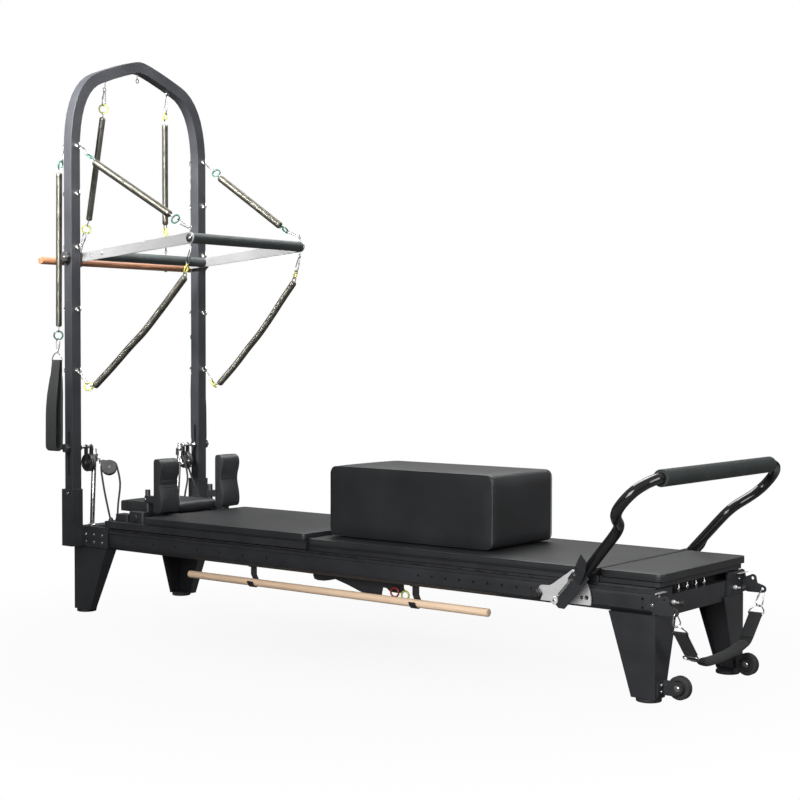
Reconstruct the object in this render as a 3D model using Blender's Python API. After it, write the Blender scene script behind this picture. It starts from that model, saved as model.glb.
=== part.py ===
# Pilates reformer with a half-trapeze tower.
# Metres, +X towards the foot end, -Y the near side, +Z up. Every size below is measured from the
# centre of the head-end feet; the finished object is moved so that its box is centred on the origin.

import bpy
import bmesh
import math
from mathutils import Matrix, Vector

for old in list(bpy.data.objects):
    bpy.data.objects.remove(old, do_unlink=True)

GAP = 0.0003
SHIFT = Vector((1.2526, 0.0, 0.0))
SIDES = {"near": -1, "far": 1}

# Rails and cross members
RAIL_HEAD, RAIL_FOOT = 0.0148, 2.4897
RAIL_OUTER, RAIL_INNER = 0.2800, 0.2360
RAIL_LOW, RAIL_TOP = 0.2532, 0.3300
HOLE_Z, HOLE_RADIUS = 0.2895, 0.0040
HEAD_HOLES = [0.2894 + 0.1144 * i for i in range(7)]
FOOT_HOLES = [1.6406 + 0.0539 * i for i in range(9)]

# Legs, feet and transport wheels
HEAD_CORNER, FOOT_CORNER = -0.0360, 2.4980
LEG_HEAD = ((0.186, 0.128, 0.053), (0.090, 0.060, 0.031))
LEG_FOOT = ((0.154, 0.128, 0.036), (0.078, 0.060, 0.026))
SHEET = 0.0030
FOOT_INSET, FOOT_HALF_Y, FOOT_RADIUS = 0.0360, 0.2499, 0.0375
FOOT_HEIGHT = 0.0110
WHEEL_X, WHEEL_Z, WHEEL_RADIUS = 2.5447, 0.0433, 0.0345
WHEEL_Y = (0.2045, 0.2290)

# Tower: one bent square tube in two sockets
TOWER_X, TOWER_Y, TOWER_HALF = 0.0203, 0.3303, 0.0216
TOWER_FOOT, SPRING_LINE, APEX = 0.2620, 1.7600, 2.1420
SOCKET_X, SOCKET_Y, SOCKET_TOP = (-0.0150, 0.0460), (0.3054, 0.3574), 0.4790
SLOT_Z, SLOT_HALF = (0.5300, 0.7000), 0.0050
CLAMP_Z = {"near": 0.6360, "far": 0.6200}

# Push-through bar
PUSH_PIVOT = (0.0203, 1.3600)
PUSH_FRONT = (0.6211, 1.4094)
PUSH_REAR = (0.0905, 1.3670)
PUSH_ARM_Y = (0.2900, 0.2960)
PUSH_HALF = (0.0170, 0.0205)

# Rope pulleys on their posts, and tower pulleys
POST_BASE, POST_TOP, POST_RADIUS = (0.0000, 0.2220, 0.3303), (0.0190, 0.2250, 0.6280), 0.0090
SHEAVE = (0.0780, 0.2020, 0.5540)
SHEAVE_RADIUS, SHEAVE_TILT = 0.0285, (0.66, 0.575, 0.45)
TOWER_PULLEY_DROP, TOWER_PULLEY_RADIUS, TOWER_PULLEY_Y = 0.0600, 0.0345, (0.2450, 0.2640)

ROPE_FALLS = {
    "near": ([(0.1330, 0.2440, 0.3610), (0.1180, 0.2430, 0.4020), (0.0860, 0.2350, 0.4760)],
             [(0.1070, 0.1730, 0.4940), (0.1220, 0.1960, 0.4180), (0.1330, 0.2100, 0.3610)]),
    "far": ([(0.1330, 0.2440, 0.3610), (0.1180, 0.2430, 0.4020), (0.0860, 0.2350, 0.4760)],
            [(0.1150, 0.1760, 0.4940), (0.1330, 0.1440, 0.4250), (0.1360, 0.1400, 0.3610)]),
}

# Carriage, mats and box
DECK_HALF = 0.2736
FRAME_X, FRAME_Z = (0.1295, 1.1547), (0.3335, 0.3587)
PAD_X, PAD_Z = (0.3400, 1.1500), (0.3590, 0.3870)
HEADREST_X, HEADREST_Z, HEADREST_HALF = (0.0640, 0.3250), (0.3815, 0.4275), 0.1350
REST_X, REST_Y, REST_Z = (0.3300, 0.3800), (0.1130, 0.2090), (0.3940, 0.6030)
REST_POST = (0.2550, 0.1650)
MAT_X, MAT_Z, BASE_Z = (1.1560, 2.3005), (0.3480, 0.3720), 0.3303
PLATFORM_X = (2.3020, 2.5150)
BOX_X, BOX_HALF, BOX_Z = (1.1754, 1.8621), 0.1733, (0.3723, 0.6170)

# Footbar
BAR_PIVOT = (2.1966, 0.2752)
BAR_ANGLE = math.radians(48.5)
BAR_OFFSET = 0.0140
BAR_RADIUS, GRIP_RADIUS, GRIP_HALF = 0.0160, 0.0250, 0.3480
BAR_ROUTE = [
    (0.100, 0.322), (0.135, 0.325), (0.204, 0.332), (0.270, 0.338), (0.306, 0.346), (0.334, 0.368),
    (0.360, 0.410), (0.384, 0.441), (0.411, 0.457), (0.445, 0.459), (0.477, 0.446), (0.501, 0.415),
    (0.513, 0.382), (0.517, 0.362), (0.517, 0.344), (0.517, 0.200),
]
SECTOR_RADIUS = 0.0910

# Poles, springs and straps
DOWEL_X, DOWEL_Y, DOWEL_Z, DOWEL_RADIUS = (0.5720, 1.8988), 0.2500, 0.1945, 0.0130
HANGERS = (0.8915, 1.6107)
ROLL_X, ROLL_Z, ROLL_HALF, ROLL_RADIUS = -0.0600, 1.3470, 0.4170, 0.0140
COIL_RADII = {"upper": 0.0140, "lower": 0.0129, "arch": 0.0120, "back": 0.0115}
HOOK_RADIUS = 0.0022
STRAP_X = 2.5600


def material(name, colour, roughness, metallic=0.0):
    """A Principled material with one plain colour."""
    made = bpy.data.materials.new(name)
    made.use_nodes = True
    shader = made.node_tree.nodes["Principled BSDF"]
    shader.inputs["Base Color"].default_value = (*colour, 1.0)
    shader.inputs["Roughness"].default_value = roughness
    shader.inputs["Metallic"].default_value = metallic
    made.diffuse_color = (*colour, 1.0)
    return made


BLACK_COAT = material("black_powder_coat", (0.035, 0.036, 0.042), 0.42, 0.3)
GLOSS_BLACK = material("gloss_black_tube", (0.012, 0.012, 0.013), 0.18, 0.4)
LEATHER = material("black_leather", (0.030, 0.031, 0.034), 0.45)
FOAM = material("dark_foam", (0.030, 0.038, 0.038), 0.75)
SATIN = material("satin_aluminium", (0.80, 0.79, 0.77), 0.30, 1.0)
CHROME = material("chrome", (0.75, 0.74, 0.72), 0.12, 1.0)
SPRING_STEEL = material("spring_steel", (0.16, 0.15, 0.13), 0.35, 0.9)
BEECH = material("pale_beech", (0.78, 0.60, 0.44), 0.50)
BROWN_WOOD = material("brown_wood", (0.42, 0.24, 0.15), 0.50)
WEBBING = material("black_webbing", (0.020, 0.021, 0.023), 0.80)
RUBBER = material("black_rubber", (0.015, 0.015, 0.016), 0.70)
NYLON = material("black_nylon", (0.020, 0.020, 0.021), 0.50)
ROPE = material("black_rope", (0.018, 0.018, 0.020), 0.85)


# Shape builders

def loft(rings, closed=False):
    """Skins rings of equal length; the ends are capped, or the last ring meets the first."""
    bm = bmesh.new()
    rows = [[bm.verts.new(point) for point in ring] for ring in rings]
    pairs = list(zip(rows[:-1], rows[1:])) + ([(rows[-1], rows[0])] if closed else [])
    for low, high in pairs:
        for i in range(len(low)):
            j = (i + 1) % len(low)
            bm.faces.new((low[i], low[j], high[j], high[i]))
    if not closed:
        bm.faces.new(rows[0])
        bm.faces.new(rows[-1])
    return bm


def ring(centre, axis, radius, count, start=0.0):
    """Points of a circle about an axis."""
    turn = Vector(axis).normalized().to_track_quat("Z", "Y")
    return [
        Vector(centre) + turn @ Vector((radius * math.cos(a), radius * math.sin(a), 0.0))
        for a in (start + 2 * math.pi * i / count for i in range(count))
    ]


def lathe(profile, centre, axis, count=24, closed=False):
    """A turned piece. The profile is (radius, distance along the axis) pairs."""
    way = Vector(axis).normalized()
    return loft([ring(Vector(centre) + way * d, way, r, count) for r, d in profile], closed)


PLANES = {"yz": (1, 2, 0), "xz": (0, 2, 1), "xy": (0, 1, 2)}


def prism(outline, plane, low, high):
    """A flat outline pushed along the third axis."""
    u, v, w = PLANES[plane]
    rings = []
    for depth in (low, high):
        points = []
        for a, b in outline:
            point = [0.0, 0.0, 0.0]
            point[u], point[v], point[w] = a, b, depth
            points.append(point)
        rings.append(points)
    return loft(rings)


def block(x, y, z):
    """A box from its three spans."""
    return prism([(x[0], y[0]), (x[1], y[0]), (x[1], y[1]), (x[0], y[1])], "xy", *z)


def arc(centre, radius, start, end, count):
    """Points on a flat arc, angles in degrees."""
    return [
        (centre[0] + radius * math.cos(math.radians(start + (end - start) * i / count)),
         centre[1] + radius * math.sin(math.radians(start + (end - start) * i / count)))
        for i in range(count + 1)
    ]


def through(points, steps):
    """A smooth curve through points, with a number of steps between each two."""
    points = [Vector(p) for p in points]
    ends = [2 * points[0] - points[1]] + points + [2 * points[-1] - points[-2]]
    curve = []
    for a, b, c, d in zip(ends[:-3], ends[1:-2], ends[2:-1], ends[3:]):
        for i in range(steps):
            t = i / steps
            curve.append(0.5 * (2 * b + (c - a) * t + (2 * a - 5 * b + 4 * c - d) * t * t
                                + (3 * b - a - 3 * c + d) * t ** 3))
    return curve + [points[-1]]


def rod(path, radii, count=12):
    """A round rod along a path, with one radius or one for each point."""
    path = [Vector(p) for p in path]
    radii = radii if isinstance(radii, (list, tuple)) else [radii] * len(path)
    rings = []
    turn = (path[1] - path[0]).normalized().to_track_quat("Z", "Y")
    way = (path[1] - path[0]).normalized()
    for i, (point, radius) in enumerate(zip(path, radii)):
        ahead = path[min(i + 1, len(path) - 1)] - point
        behind = point - path[max(i - 1, 0)]
        new = (ahead.normalized() + behind.normalized()).normalized()
        turn = way.rotation_difference(new) @ turn
        way = new
        rings.append([
            point + turn @ Vector((radius * math.cos(a), radius * math.sin(a), 0.0))
            for a in (2 * math.pi * k / count for k in range(count))
        ])
    return loft(rings)


def band(path, half_width, half_depth, across):
    """A flat strip along a path; across is the direction of its width."""
    path = [Vector(p) for p in path]
    wide = Vector(across).normalized()
    rings = []
    for i, point in enumerate(path):
        way = path[min(i + 1, len(path) - 1)] - path[max(i - 1, 0)]
        deep = wide.cross(way).normalized() * half_depth
        side = wide * half_width
        rings.append([point - side - deep, point + side - deep, point + side + deep,
                      point - side + deep])
    return loft(rings)


def spans(side, inner, outer):
    """A span of Y on one side, from distances to the centre line."""
    return tuple(sorted((side * inner, side * outer)))


def place(name, bm, finish, origin=(0.0, 0.0, 0.0)):
    """Makes the object from a mesh in the frame, with its origin on the joint axis."""
    bmesh.ops.recalc_face_normals(bm, faces=bm.faces)
    bm.transform(Matrix.Translation(-Vector(origin)))
    mesh = bpy.data.meshes.new(name)
    bm.to_mesh(mesh)
    bm.free()
    mesh.materials.append(finish)
    made = bpy.data.objects.new(name, mesh)
    made.location = Vector(origin) - SHIFT
    bpy.context.collection.objects.link(made)
    return made


def combine(target, operation, *shapes):
    """Joins shapes to an object, or cuts them out of it."""
    for number, bm in enumerate(shapes):
        tool = place(f"{target.name}_{operation.lower()}_{number}", bm, target.data.materials[0])
        tool.hide_render = True
        tool.display_type = "WIRE"
        step = target.modifiers.new(tool.name, "BOOLEAN")
        step.operation = operation
        step.solver = "EXACT"
        step.object = tool


def join(target, *shapes):
    combine(target, "UNION", *shapes)


def cut(target, *shapes):
    combine(target, "DIFFERENCE", *shapes)


# Rails: a channel with a low lip and a sloped foot outside and a runner groove inside

def rail(name, side):
    outline = [
        (0.2680, RAIL_LOW), (RAIL_OUTER, 0.2645), (0.2740, 0.2665), (0.2740, 0.3130),
        (RAIL_OUTER, 0.3145), (RAIL_OUTER, 0.3222), (0.2640, 0.3222), (0.2640, RAIL_TOP),
        (RAIL_INNER, RAIL_TOP),
        (RAIL_INNER, 0.3200), (0.2560, 0.3180), (0.2560, 0.2652), (RAIL_INNER, 0.2632),
        (RAIL_INNER, RAIL_LOW),
    ]
    made = place(name, prism([(side * y, z) for y, z in outline], "yz", RAIL_HEAD, RAIL_FOOT),
                 BLACK_COAT)
    places = [(x, HOLE_Z) for x in HEAD_HOLES + FOOT_HOLES] + [(2.4527, 0.2970), (2.4527, 0.2715)]
    for x, z in places:
        cut(made, lathe([(HOLE_RADIUS, 0.250), (HOLE_RADIUS, 0.290)], (x, 0.0, z),
                        (0, side, 0), 8))
    return made


near_rail = rail("rail_near", -1)
rail("rail_far", 1)

# Two hooked hangers under the near rail hold the spare pole; the hook's tip flares outwards
for x in HANGERS:
    hook = (
        [(0.2500, 0.2217)]
        + arc((DOWEL_Y, DOWEL_Z), DOWEL_RADIUS + 0.0006, 150, 340, 8)
        + [(0.2688, 0.2003), (0.2718, 0.1986)]
        + arc((DOWEL_Y, DOWEL_Z), DOWEL_RADIUS + 0.0041, 340, 150, 8)
        + [(0.2465, 0.2226), (0.2465, 0.2495), (0.2385, 0.2495), (0.2385, 0.2540),
           (0.2620, 0.2540), (0.2620, 0.2495), (0.2500, 0.2495)]
    )
    join(near_rail, prism([(-y, z) for y, z in hook], "yz", x - 0.013, x + 0.013))

head_beam = place("head_crossbeam", block((HEAD_CORNER, RAIL_HEAD - GAP), (-0.2797, 0.2797),
                                          (RAIL_LOW + GAP, RAIL_TOP)), BLACK_COAT)

foot_beam = place("foot_crossbeam", block((2.452, 2.4905), (-RAIL_INNER + GAP, RAIL_INNER - GAP),
                                          (0.2535, 0.3015)), BLACK_COAT)
join(foot_beam, block((2.452, 2.4905), (-0.1515, 0.1515), (0.2400, 0.2545)))
for side in SIDES.values():
    join(foot_beam, block((2.4900, 2.4965), spans(side, 0.1780, 0.2830), (0.2535, 0.3265)))
    ear = (
        [(2.4812, 0.2720), (2.4840, 0.2668), (2.4987, 0.2605), (2.5140, 0.2570)]
        + arc((2.5618, 0.2695), 0.0120, -100, 75, 6)
        + [(2.5440, 0.2870)]
        + arc((2.5286, 0.3010), 0.0125, -10, 130, 5)
        + [(2.5050, 0.3040), (2.4990, 0.3245), (2.4880, 0.3245), (2.4880, 0.3045),
           (2.4812, 0.3025)]
    )
    join(foot_beam, prism(ear, "xz", *spans(side, 0.2803, 0.2853)))
    cut(foot_beam,
        lathe([(0.0052, 0.27), (0.0052, 0.30)], (2.5618, 0, 0.2695), (0, side, 0), 10),
        lathe([(0.0052, 0.27), (0.0052, 0.30)], (2.5286, 0, 0.3010), (0, side, 0), 10))


# Legs: tapering folded sheet with an outer face, an end face and a lip, closed by two plates

def leg(name, corner, inward, side, sizes):
    def section(size, z):
        along, across, lip = size
        outer = [(along, lip), (along, 0.0), (0.0, 0.0), (0.0, across)]
        inner = [(SHEET, across), (SHEET, SHEET), (along - SHEET, SHEET), (along - SHEET, lip)]
        return [(corner + inward * a, side * (RAIL_OUTER - b), z) for a, b in outer + inner]

    def plate(size, z):
        along, across, lip = size
        outline = [(0.0, 0.0), (along, 0.0), (along, lip), (along - across + lip, across),
                   (0.0, across)]
        return prism([(corner + inward * a, side * (RAIL_OUTER - b)) for a, b in outline],
                     "xy", *z)

    top, low = RAIL_LOW - GAP, FOOT_HEIGHT
    made = place(name, loft([section(sizes[1], low), section(sizes[0], top)]), BLACK_COAT)
    join(made, plate(sizes[1], (low, low + SHEET)), plate(sizes[0], (top - SHEET, top)))
    return made


def rubber_foot(name, x, side):
    outline = [(0.0340, 0.0), (FOOT_RADIUS, 0.0030), (FOOT_RADIUS, FOOT_HEIGHT - GAP)]
    place(name, lathe(outline, (x, side * FOOT_HALF_Y, 0.0), (0, 0, 1), 24), RUBBER)


for label, side in SIDES.items():
    leg(f"leg_head_{label}", HEAD_CORNER, 1, side, LEG_HEAD)
    foot_leg = leg(f"leg_foot_{label}", FOOT_CORNER, -1, side, LEG_FOOT)
    plate = (
        [(2.4970, 0.0200), (2.5300, 0.0200)]
        + arc((WHEEL_X, WHEEL_Z), 0.0190, -80, 80, 6)
        + [(2.5300, 0.0640), (2.4970, 0.0640)]
    )
    join(foot_leg,
         block((2.4970, 2.5010), spans(side, 0.2330, 0.2690), (0.0200, 0.0640)),
         prism(plate, "xz", *spans(side, 0.2320, 0.2355)),
         lathe([(0.0042, 0.2015), (0.0042, 0.2330)], (WHEEL_X, 0, WHEEL_Z), (0, side, 0), 16))
    rubber_foot(f"foot_head_{label}", HEAD_CORNER + FOOT_INSET, side)
    rubber_foot(f"foot_foot_{label}", FOOT_CORNER - FOOT_INSET, side)
    tread = [
        (0.0046, WHEEL_Y[0]), (0.0300, WHEEL_Y[0]), (WHEEL_RADIUS, WHEEL_Y[0] + 0.004),
        (WHEEL_RADIUS, WHEEL_Y[1] - 0.004), (0.0300, WHEEL_Y[1]), (0.0046, WHEEL_Y[1]),
    ]
    place(f"wheel_{label}", lathe(tread, (WHEEL_X, 0, WHEEL_Z), (0, side, 0), 24, closed=True),
          RUBBER, (WHEEL_X, side * sum(WHEEL_Y) / 2, WHEEL_Z))


# Tower sockets: a sleeve on a plate that bolts to the rail

for label, side in SIDES.items():
    def sleeve(skin, z):
        x = (SOCKET_X[0] + skin, SOCKET_X[1] - skin)
        y = spans(side, SOCKET_Y[0] + skin, SOCKET_Y[1] - skin)
        return [(x[0], y[0], z), (x[1], y[0], z), (x[1], y[1], z), (x[0], y[1], z)]

    socket = place(f"tower_socket_{label}", loft([sleeve(0, TOWER_FOOT), sleeve(0, SOCKET_TOP)]),
                   BLACK_COAT)
    slack = TOWER_HALF + GAP
    cut(socket, block((TOWER_X - slack, TOWER_X + slack),
                      spans(side, TOWER_Y - slack, TOWER_Y + slack), (TOWER_FOOT - 0.01, 0.60)))
    join(socket,
         block((SOCKET_X[0], 0.0400), spans(side, 0.2810, 0.3070), (0.2620, 0.3340)),
         block((SOCKET_X[0], 0.1620), spans(side, RAIL_OUTER + GAP, 0.2863), (0.2555, 0.3355)))


# Tower tube: upright, round shoulder, gently sloping roof, mirrored about the middle

def bezier(a, b, c, d, steps):
    return [
        a * (1 - t) ** 3 + b * 3 * t * (1 - t) ** 2 + c * 3 * t * t * (1 - t) + d * t ** 3
        for t in (i / steps for i in range(steps + 1))
    ]


upright = Vector((TOWER_Y, SPRING_LINE))
shoulder = Vector((0.2050, 2.0530))
apex = Vector((0.0, APEX - TOWER_HALF))
half = [Vector((TOWER_Y, TOWER_FOOT))]
half += bezier(upright, Vector((TOWER_Y, 1.9200)), Vector((0.2890, 2.0200)), shoulder, 9)
crown = Vector((0.0450, 2.1115))
half += bezier(shoulder, Vector((0.1400, 2.0800)), Vector((0.0900, 2.0980)), crown, 3)[1:]
half += bezier(crown, Vector((0.0250, 2.1172)), Vector((0.0120, apex.y)), apex, 3)[1:]
middle = half + [Vector((-p.x, p.y)) for p in reversed(half[:-1])]
sections = []
for i, point in enumerate(middle):
    way = middle[min(i + 1, len(middle) - 1)] - middle[max(i - 1, 0)]
    out = Vector((way.y, -way.x)).normalized() * TOWER_HALF
    before = (point - middle[i - 1]).normalized() if i else way.normalized()
    out *= 1.0 / max(0.5, math.cos(before.angle(way))) if i else 1.0
    sections.append([
        (TOWER_X + a * TOWER_HALF, point.x + b * out.x, point.y + b * out.y)
        for a, b in ((-1, -1), (1, -1), (1, 1), (-1, 1))
    ])
tower = place("tower_frame", loft(sections), BLACK_COAT)
for side in SIDES.values():
    cut(tower,
        block((TOWER_X - SLOT_HALF, TOWER_X + SLOT_HALF), spans(side, 0.29, 0.37), SLOT_Z),
        lathe([(0.0066, 0.29), (0.0066, 0.37)], (PUSH_PIVOT[0], 0, PUSH_PIVOT[1]),
              (0, side, 0), 12))

# Height clamps on the tower: a yoke on a bolt through the slot, a pulley and a knob
for label, side in SIDES.items():
    clamp_z = CLAMP_Z[label]
    axle_z = clamp_z - TOWER_PULLEY_DROP
    inner, outer = TOWER_PULLEY_Y
    yoke = place(f"pulley_slider_{label}",
                 lathe([(0.0060, inner - 0.0045), (0.0060, 0.3080)], (TOWER_X, 0, clamp_z),
                       (0, side, 0), 12), CHROME, (TOWER_X, side * 0.3303, clamp_z))
    join(yoke,
         lathe([(0.0040, 0.3070), (0.0040, 0.3590)], (TOWER_X, 0, clamp_z), (0, side, 0), 12),
         block((TOWER_X - 0.009, TOWER_X + 0.009), spans(side, inner - 0.0045, inner - 0.0015),
               (axle_z - 0.010, clamp_z + 0.005)),
         block((TOWER_X - 0.009, TOWER_X + 0.009), spans(side, outer + 0.0015, outer + 0.0045),
               (axle_z - 0.010, clamp_z + 0.005)),
         lathe([(0.0040, inner - 0.0030), (0.0040, outer + 0.0030)], (TOWER_X, 0, axle_z),
               (0, side, 0), 12))
    groove = [
        (0.0044, inner), (0.0320, inner), (TOWER_PULLEY_RADIUS, inner + 0.003),
        (0.0300, inner + 0.0095), (TOWER_PULLEY_RADIUS, outer - 0.003), (0.0320, outer),
        (0.0044, outer),
    ]
    place(f"tower_pulley_{label}",
          lathe(groove, (TOWER_X, 0, axle_z), (0, side, 0), 24, closed=True), NYLON,
          (TOWER_X, side * (inner + outer) / 2, axle_z))
    knob = [
        (0.0044, 0.3620), (0.0044, 0.3523), (0.0140, 0.3523), (0.0180, 0.3570),
        (0.0180, 0.3700), (0.0140, 0.3740),
    ]
    place(f"clamp_knob_{label}", lathe(knob, (TOWER_X, 0, clamp_z), (0, side, 0), 18),
          NYLON, (TOWER_X, side * 0.363, clamp_z))

# Rope posts with a swivelling yoke and a sheave each
for label, side in SIDES.items():
    foot = Vector((POST_BASE[0], side * POST_BASE[1], POST_BASE[2]))
    tip = Vector((POST_TOP[0], side * POST_TOP[1], POST_TOP[2]))
    post_way = (tip - foot).normalized()
    post = place(f"rope_post_{label}",
                 lathe([(0.0160, 0.0), (0.0160, 0.005)], (foot.x, foot.y, foot.z), (0, 0, 1), 16),
                 CHROME)
    join(post, rod([foot + post_way * 0.002, tip], POST_RADIUS, 16))

    hub = foot + post_way * 0.2640
    centre = Vector((SHEAVE[0], side * SHEAVE[1], SHEAVE[2]))
    spin = Vector((SHEAVE_TILT[0], side * SHEAVE_TILT[1], SHEAVE_TILT[2])).normalized()
    back = centre - spin * 0.0145
    collar = [
        (POST_RADIUS + 0.0004, -0.014), (0.0145, -0.014), (0.0145, 0.014),
        (POST_RADIUS + 0.0004, 0.014),
    ]
    swivel = place(f"swivel_yoke_{label}", lathe(collar, hub, post_way, 16, closed=True), CHROME,
                   hub)
    out = ((back - hub) - post_way * (back - hub).dot(post_way)).normalized()
    edge_way = ((hub - centre) - spin * (hub - centre).dot(spin)).normalized()
    join(swivel,
         rod([hub + out * 0.0115, hub + out * 0.0200, centre + edge_way * 0.0450 - spin * 0.0170,
              back], 0.0045, 10),
         rod([back - spin * 0.0030, centre + spin * 0.0075], 0.0042, 12))
    rim = [
        (0.0046, -0.0085), (0.0265, -0.0085), (SHEAVE_RADIUS, -0.0060), (0.0240, 0.0),
        (SHEAVE_RADIUS, 0.0060), (0.0265, 0.0085), (0.0046, 0.0085),
    ]
    place(f"rope_sheave_{label}", lathe(rim, centre, spin, 24, closed=True), NYLON, centre)

    # The rope rises from the carriage, rounds the sheave and comes down again
    level = spin.cross(Vector((0, 0, 1))).normalized()
    level = level if level.y * side > 0 else -level
    climb = Vector((0, 0, 1)) - spin * spin.z
    climb.normalize()
    wrap = [centre + 0.0305 * (level * math.cos(a) + climb * math.sin(a))
            for a in (math.pi * i / 4 for i in range(5))]
    outer_fall, inner_fall = ROPE_FALLS[label]
    route = ([Vector((x, side * y, z)) for x, y, z in outer_fall] + wrap
             + [Vector((x, side * y, z)) for x, y, z in inner_fall])
    line = bpy.data.curves.new(f"rope_{label}", "CURVE")
    line.dimensions = "3D"
    line.bevel_depth = 0.0030
    line.bevel_resolution = 2
    line.use_fill_caps = True
    line.materials.append(ROPE)
    spline = line.splines.new("POLY")
    track = through(route, 4)
    spline.points.add(len(track) - 1)
    for knot, point in zip(spline.points, track):
        knot.co = (*(point - SHIFT), 1.0)
    bpy.context.collection.objects.link(bpy.data.objects.new(f"rope_{label}", line))


# Carriage: a flat frame with four runners in the rail grooves and post holes for the rests

carriage = place("carriage_frame", block(FRAME_X, (-0.2700, 0.2700), FRAME_Z), BLACK_COAT)
for side in SIDES.values():
    for x in (0.180, 1.030):
        join(carriage,
             block((x, x + 0.080), spans(side, 0.2200, 0.2335), (0.2680, 0.3345)),
             block((x, x + 0.080), spans(side, 0.2325, 0.2535), (0.2690, 0.3140)))
    join(carriage, block((0.150, 0.290), spans(side, 0.095, 0.115), (FRAME_Z[1] - 0.001, 0.3812)))
    cut(carriage, lathe([(0.0106, 0.30), (0.0106, 0.37)], (REST_POST[0], side * REST_POST[1], 0),
                        (0, 0, 1), 16))

place("carriage_pad", block(PAD_X, (-DECK_HALF, DECK_HALF), PAD_Z), LEATHER)

# The headrest's rounded front edge is also its hinge
edge = (HEADREST_Z[1] - HEADREST_Z[0]) / 2
hinge = (HEADREST_X[1] - edge, HEADREST_Z[0] + edge)
outline = (
    [(HEADREST_X[0], HEADREST_Z[0])] + arc(hinge, edge, -90, 90, 8)
    + [(HEADREST_X[0] + 0.008, HEADREST_Z[1]), (HEADREST_X[0], HEADREST_Z[1] - 0.008)]
)
place("headrest", prism(outline, "xz", -HEADREST_HALF, HEADREST_HALF), LEATHER,
      (hinge[0], 0, hinge[1]))

# Shoulder rests: a pad with a waisted front on a post that drops into the carriage
for label, side in SIDES.items():
    back, front = REST_X
    low, high = REST_Z
    outline = [
        (back, low + 0.006), (back + 0.006, low), (front - 0.020, low), (front - 0.004, low + 0.016),
        (front, low + 0.040), (front - 0.006, low + 0.075), (front - 0.013, low + 0.105),
        (front - 0.009, low + 0.135), (front - 0.001, low + 0.165), (front - 0.003, low + 0.188),
        (front - 0.016, high - 0.004), (front - 0.030, high), (back + 0.006, high - 0.002),
        (back, high - 0.010),
    ]
    rest = place(f"shoulder_rest_{label}", prism(outline, "xz", *spans(side, *REST_Y)), LEATHER,
                 (REST_POST[0], side * REST_POST[1], 0.3590))
    join(rest,
         block((REST_POST[0], back + 0.001), spans(side, 0.152, 0.178), (0.4300, 0.4550)),
         lathe([(0.0100, 0.3360), (0.0100, 0.4780)], (REST_POST[0], side * REST_POST[1], 0),
               (0, 0, 1), 16))

# Conversion mat and foot platform
deck = [
    (-0.262, BASE_Z), (0.262, BASE_Z), (0.262, MAT_Z[0]), (DECK_HALF, MAT_Z[0]),
    (DECK_HALF, MAT_Z[1]), (-DECK_HALF, MAT_Z[1]), (-DECK_HALF, MAT_Z[0]), (-0.262, MAT_Z[0]),
]
place("conversion_mat", prism(deck, "yz", *MAT_X), LEATHER)
place("platform_base", block((PLATFORM_X[0], 2.500), (-0.262, 0.262), (BASE_Z, MAT_Z[0])),
      BLACK_COAT)
place("platform_pad", block(PLATFORM_X, (-DECK_HALF, DECK_HALF), (MAT_Z[0] + GAP, MAT_Z[1])),
      LEATHER)
place("sitting_box", block(BOX_X, (-BOX_HALF, BOX_HALF), BOX_Z), LEATHER)


# Footbar: places on its slanted plane are (distance from the pivot, distance below it)

def slant(s, n):
    return (BAR_PIVOT[0] + s * math.cos(BAR_ANGLE) + n * math.sin(BAR_ANGLE),
            BAR_PIVOT[1] + s * math.sin(BAR_ANGLE) - n * math.cos(BAR_ANGLE))


def on_bar(s, y, n=BAR_OFFSET):
    x, z = slant(s, n)
    return Vector((x, y, z))


arm = through([(s, y, 0.0) for s, y in BAR_ROUTE], 3)
loop = [on_bar(p.x, -p.y) for p in arm] + [on_bar(p.x, p.y) for p in reversed(arm)]
footbar = place("footbar_frame", rod(loop, BAR_RADIUS, 12), GLOSS_BLACK,
                (BAR_PIVOT[0], 0, BAR_PIVOT[1]))
for side in SIDES.values():
    cheek = [slant(s, n) for s, n in (
        [(0.1300, 0.0390), (0.1300, 0.0005), (0.1130, 0.0005), (0.1060, -0.0150),
         (0.0780, -0.0125), (0.0840, 0.0005), (0.0130, 0.0005)]
        + arc((0.0020, 0.0010), 0.0100, -25, -180, 5) + [(-0.0080, 0.0240), (0.0040, 0.0390)]
    )]
    join(footbar,
         prism(cheek, "xz", *spans(side, 0.2868, 0.3385)),
         lathe([(0.0060, 0.2765), (0.0060, 0.2880)], (BAR_PIVOT[0], 0, BAR_PIVOT[1]),
               (0, side, 0), 12))
grip_axis = on_bar(BAR_ROUTE[-1][0], 0.0)
place("footbar_grip",
      lathe([(BAR_RADIUS + 2 * GAP, -GRIP_HALF), (GRIP_RADIUS, -GRIP_HALF),
             (GRIP_RADIUS, GRIP_HALF), (BAR_RADIUS + 2 * GAP, GRIP_HALF)],
            grip_axis, (0, 1, 0), 24, closed=True), FOAM)

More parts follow.
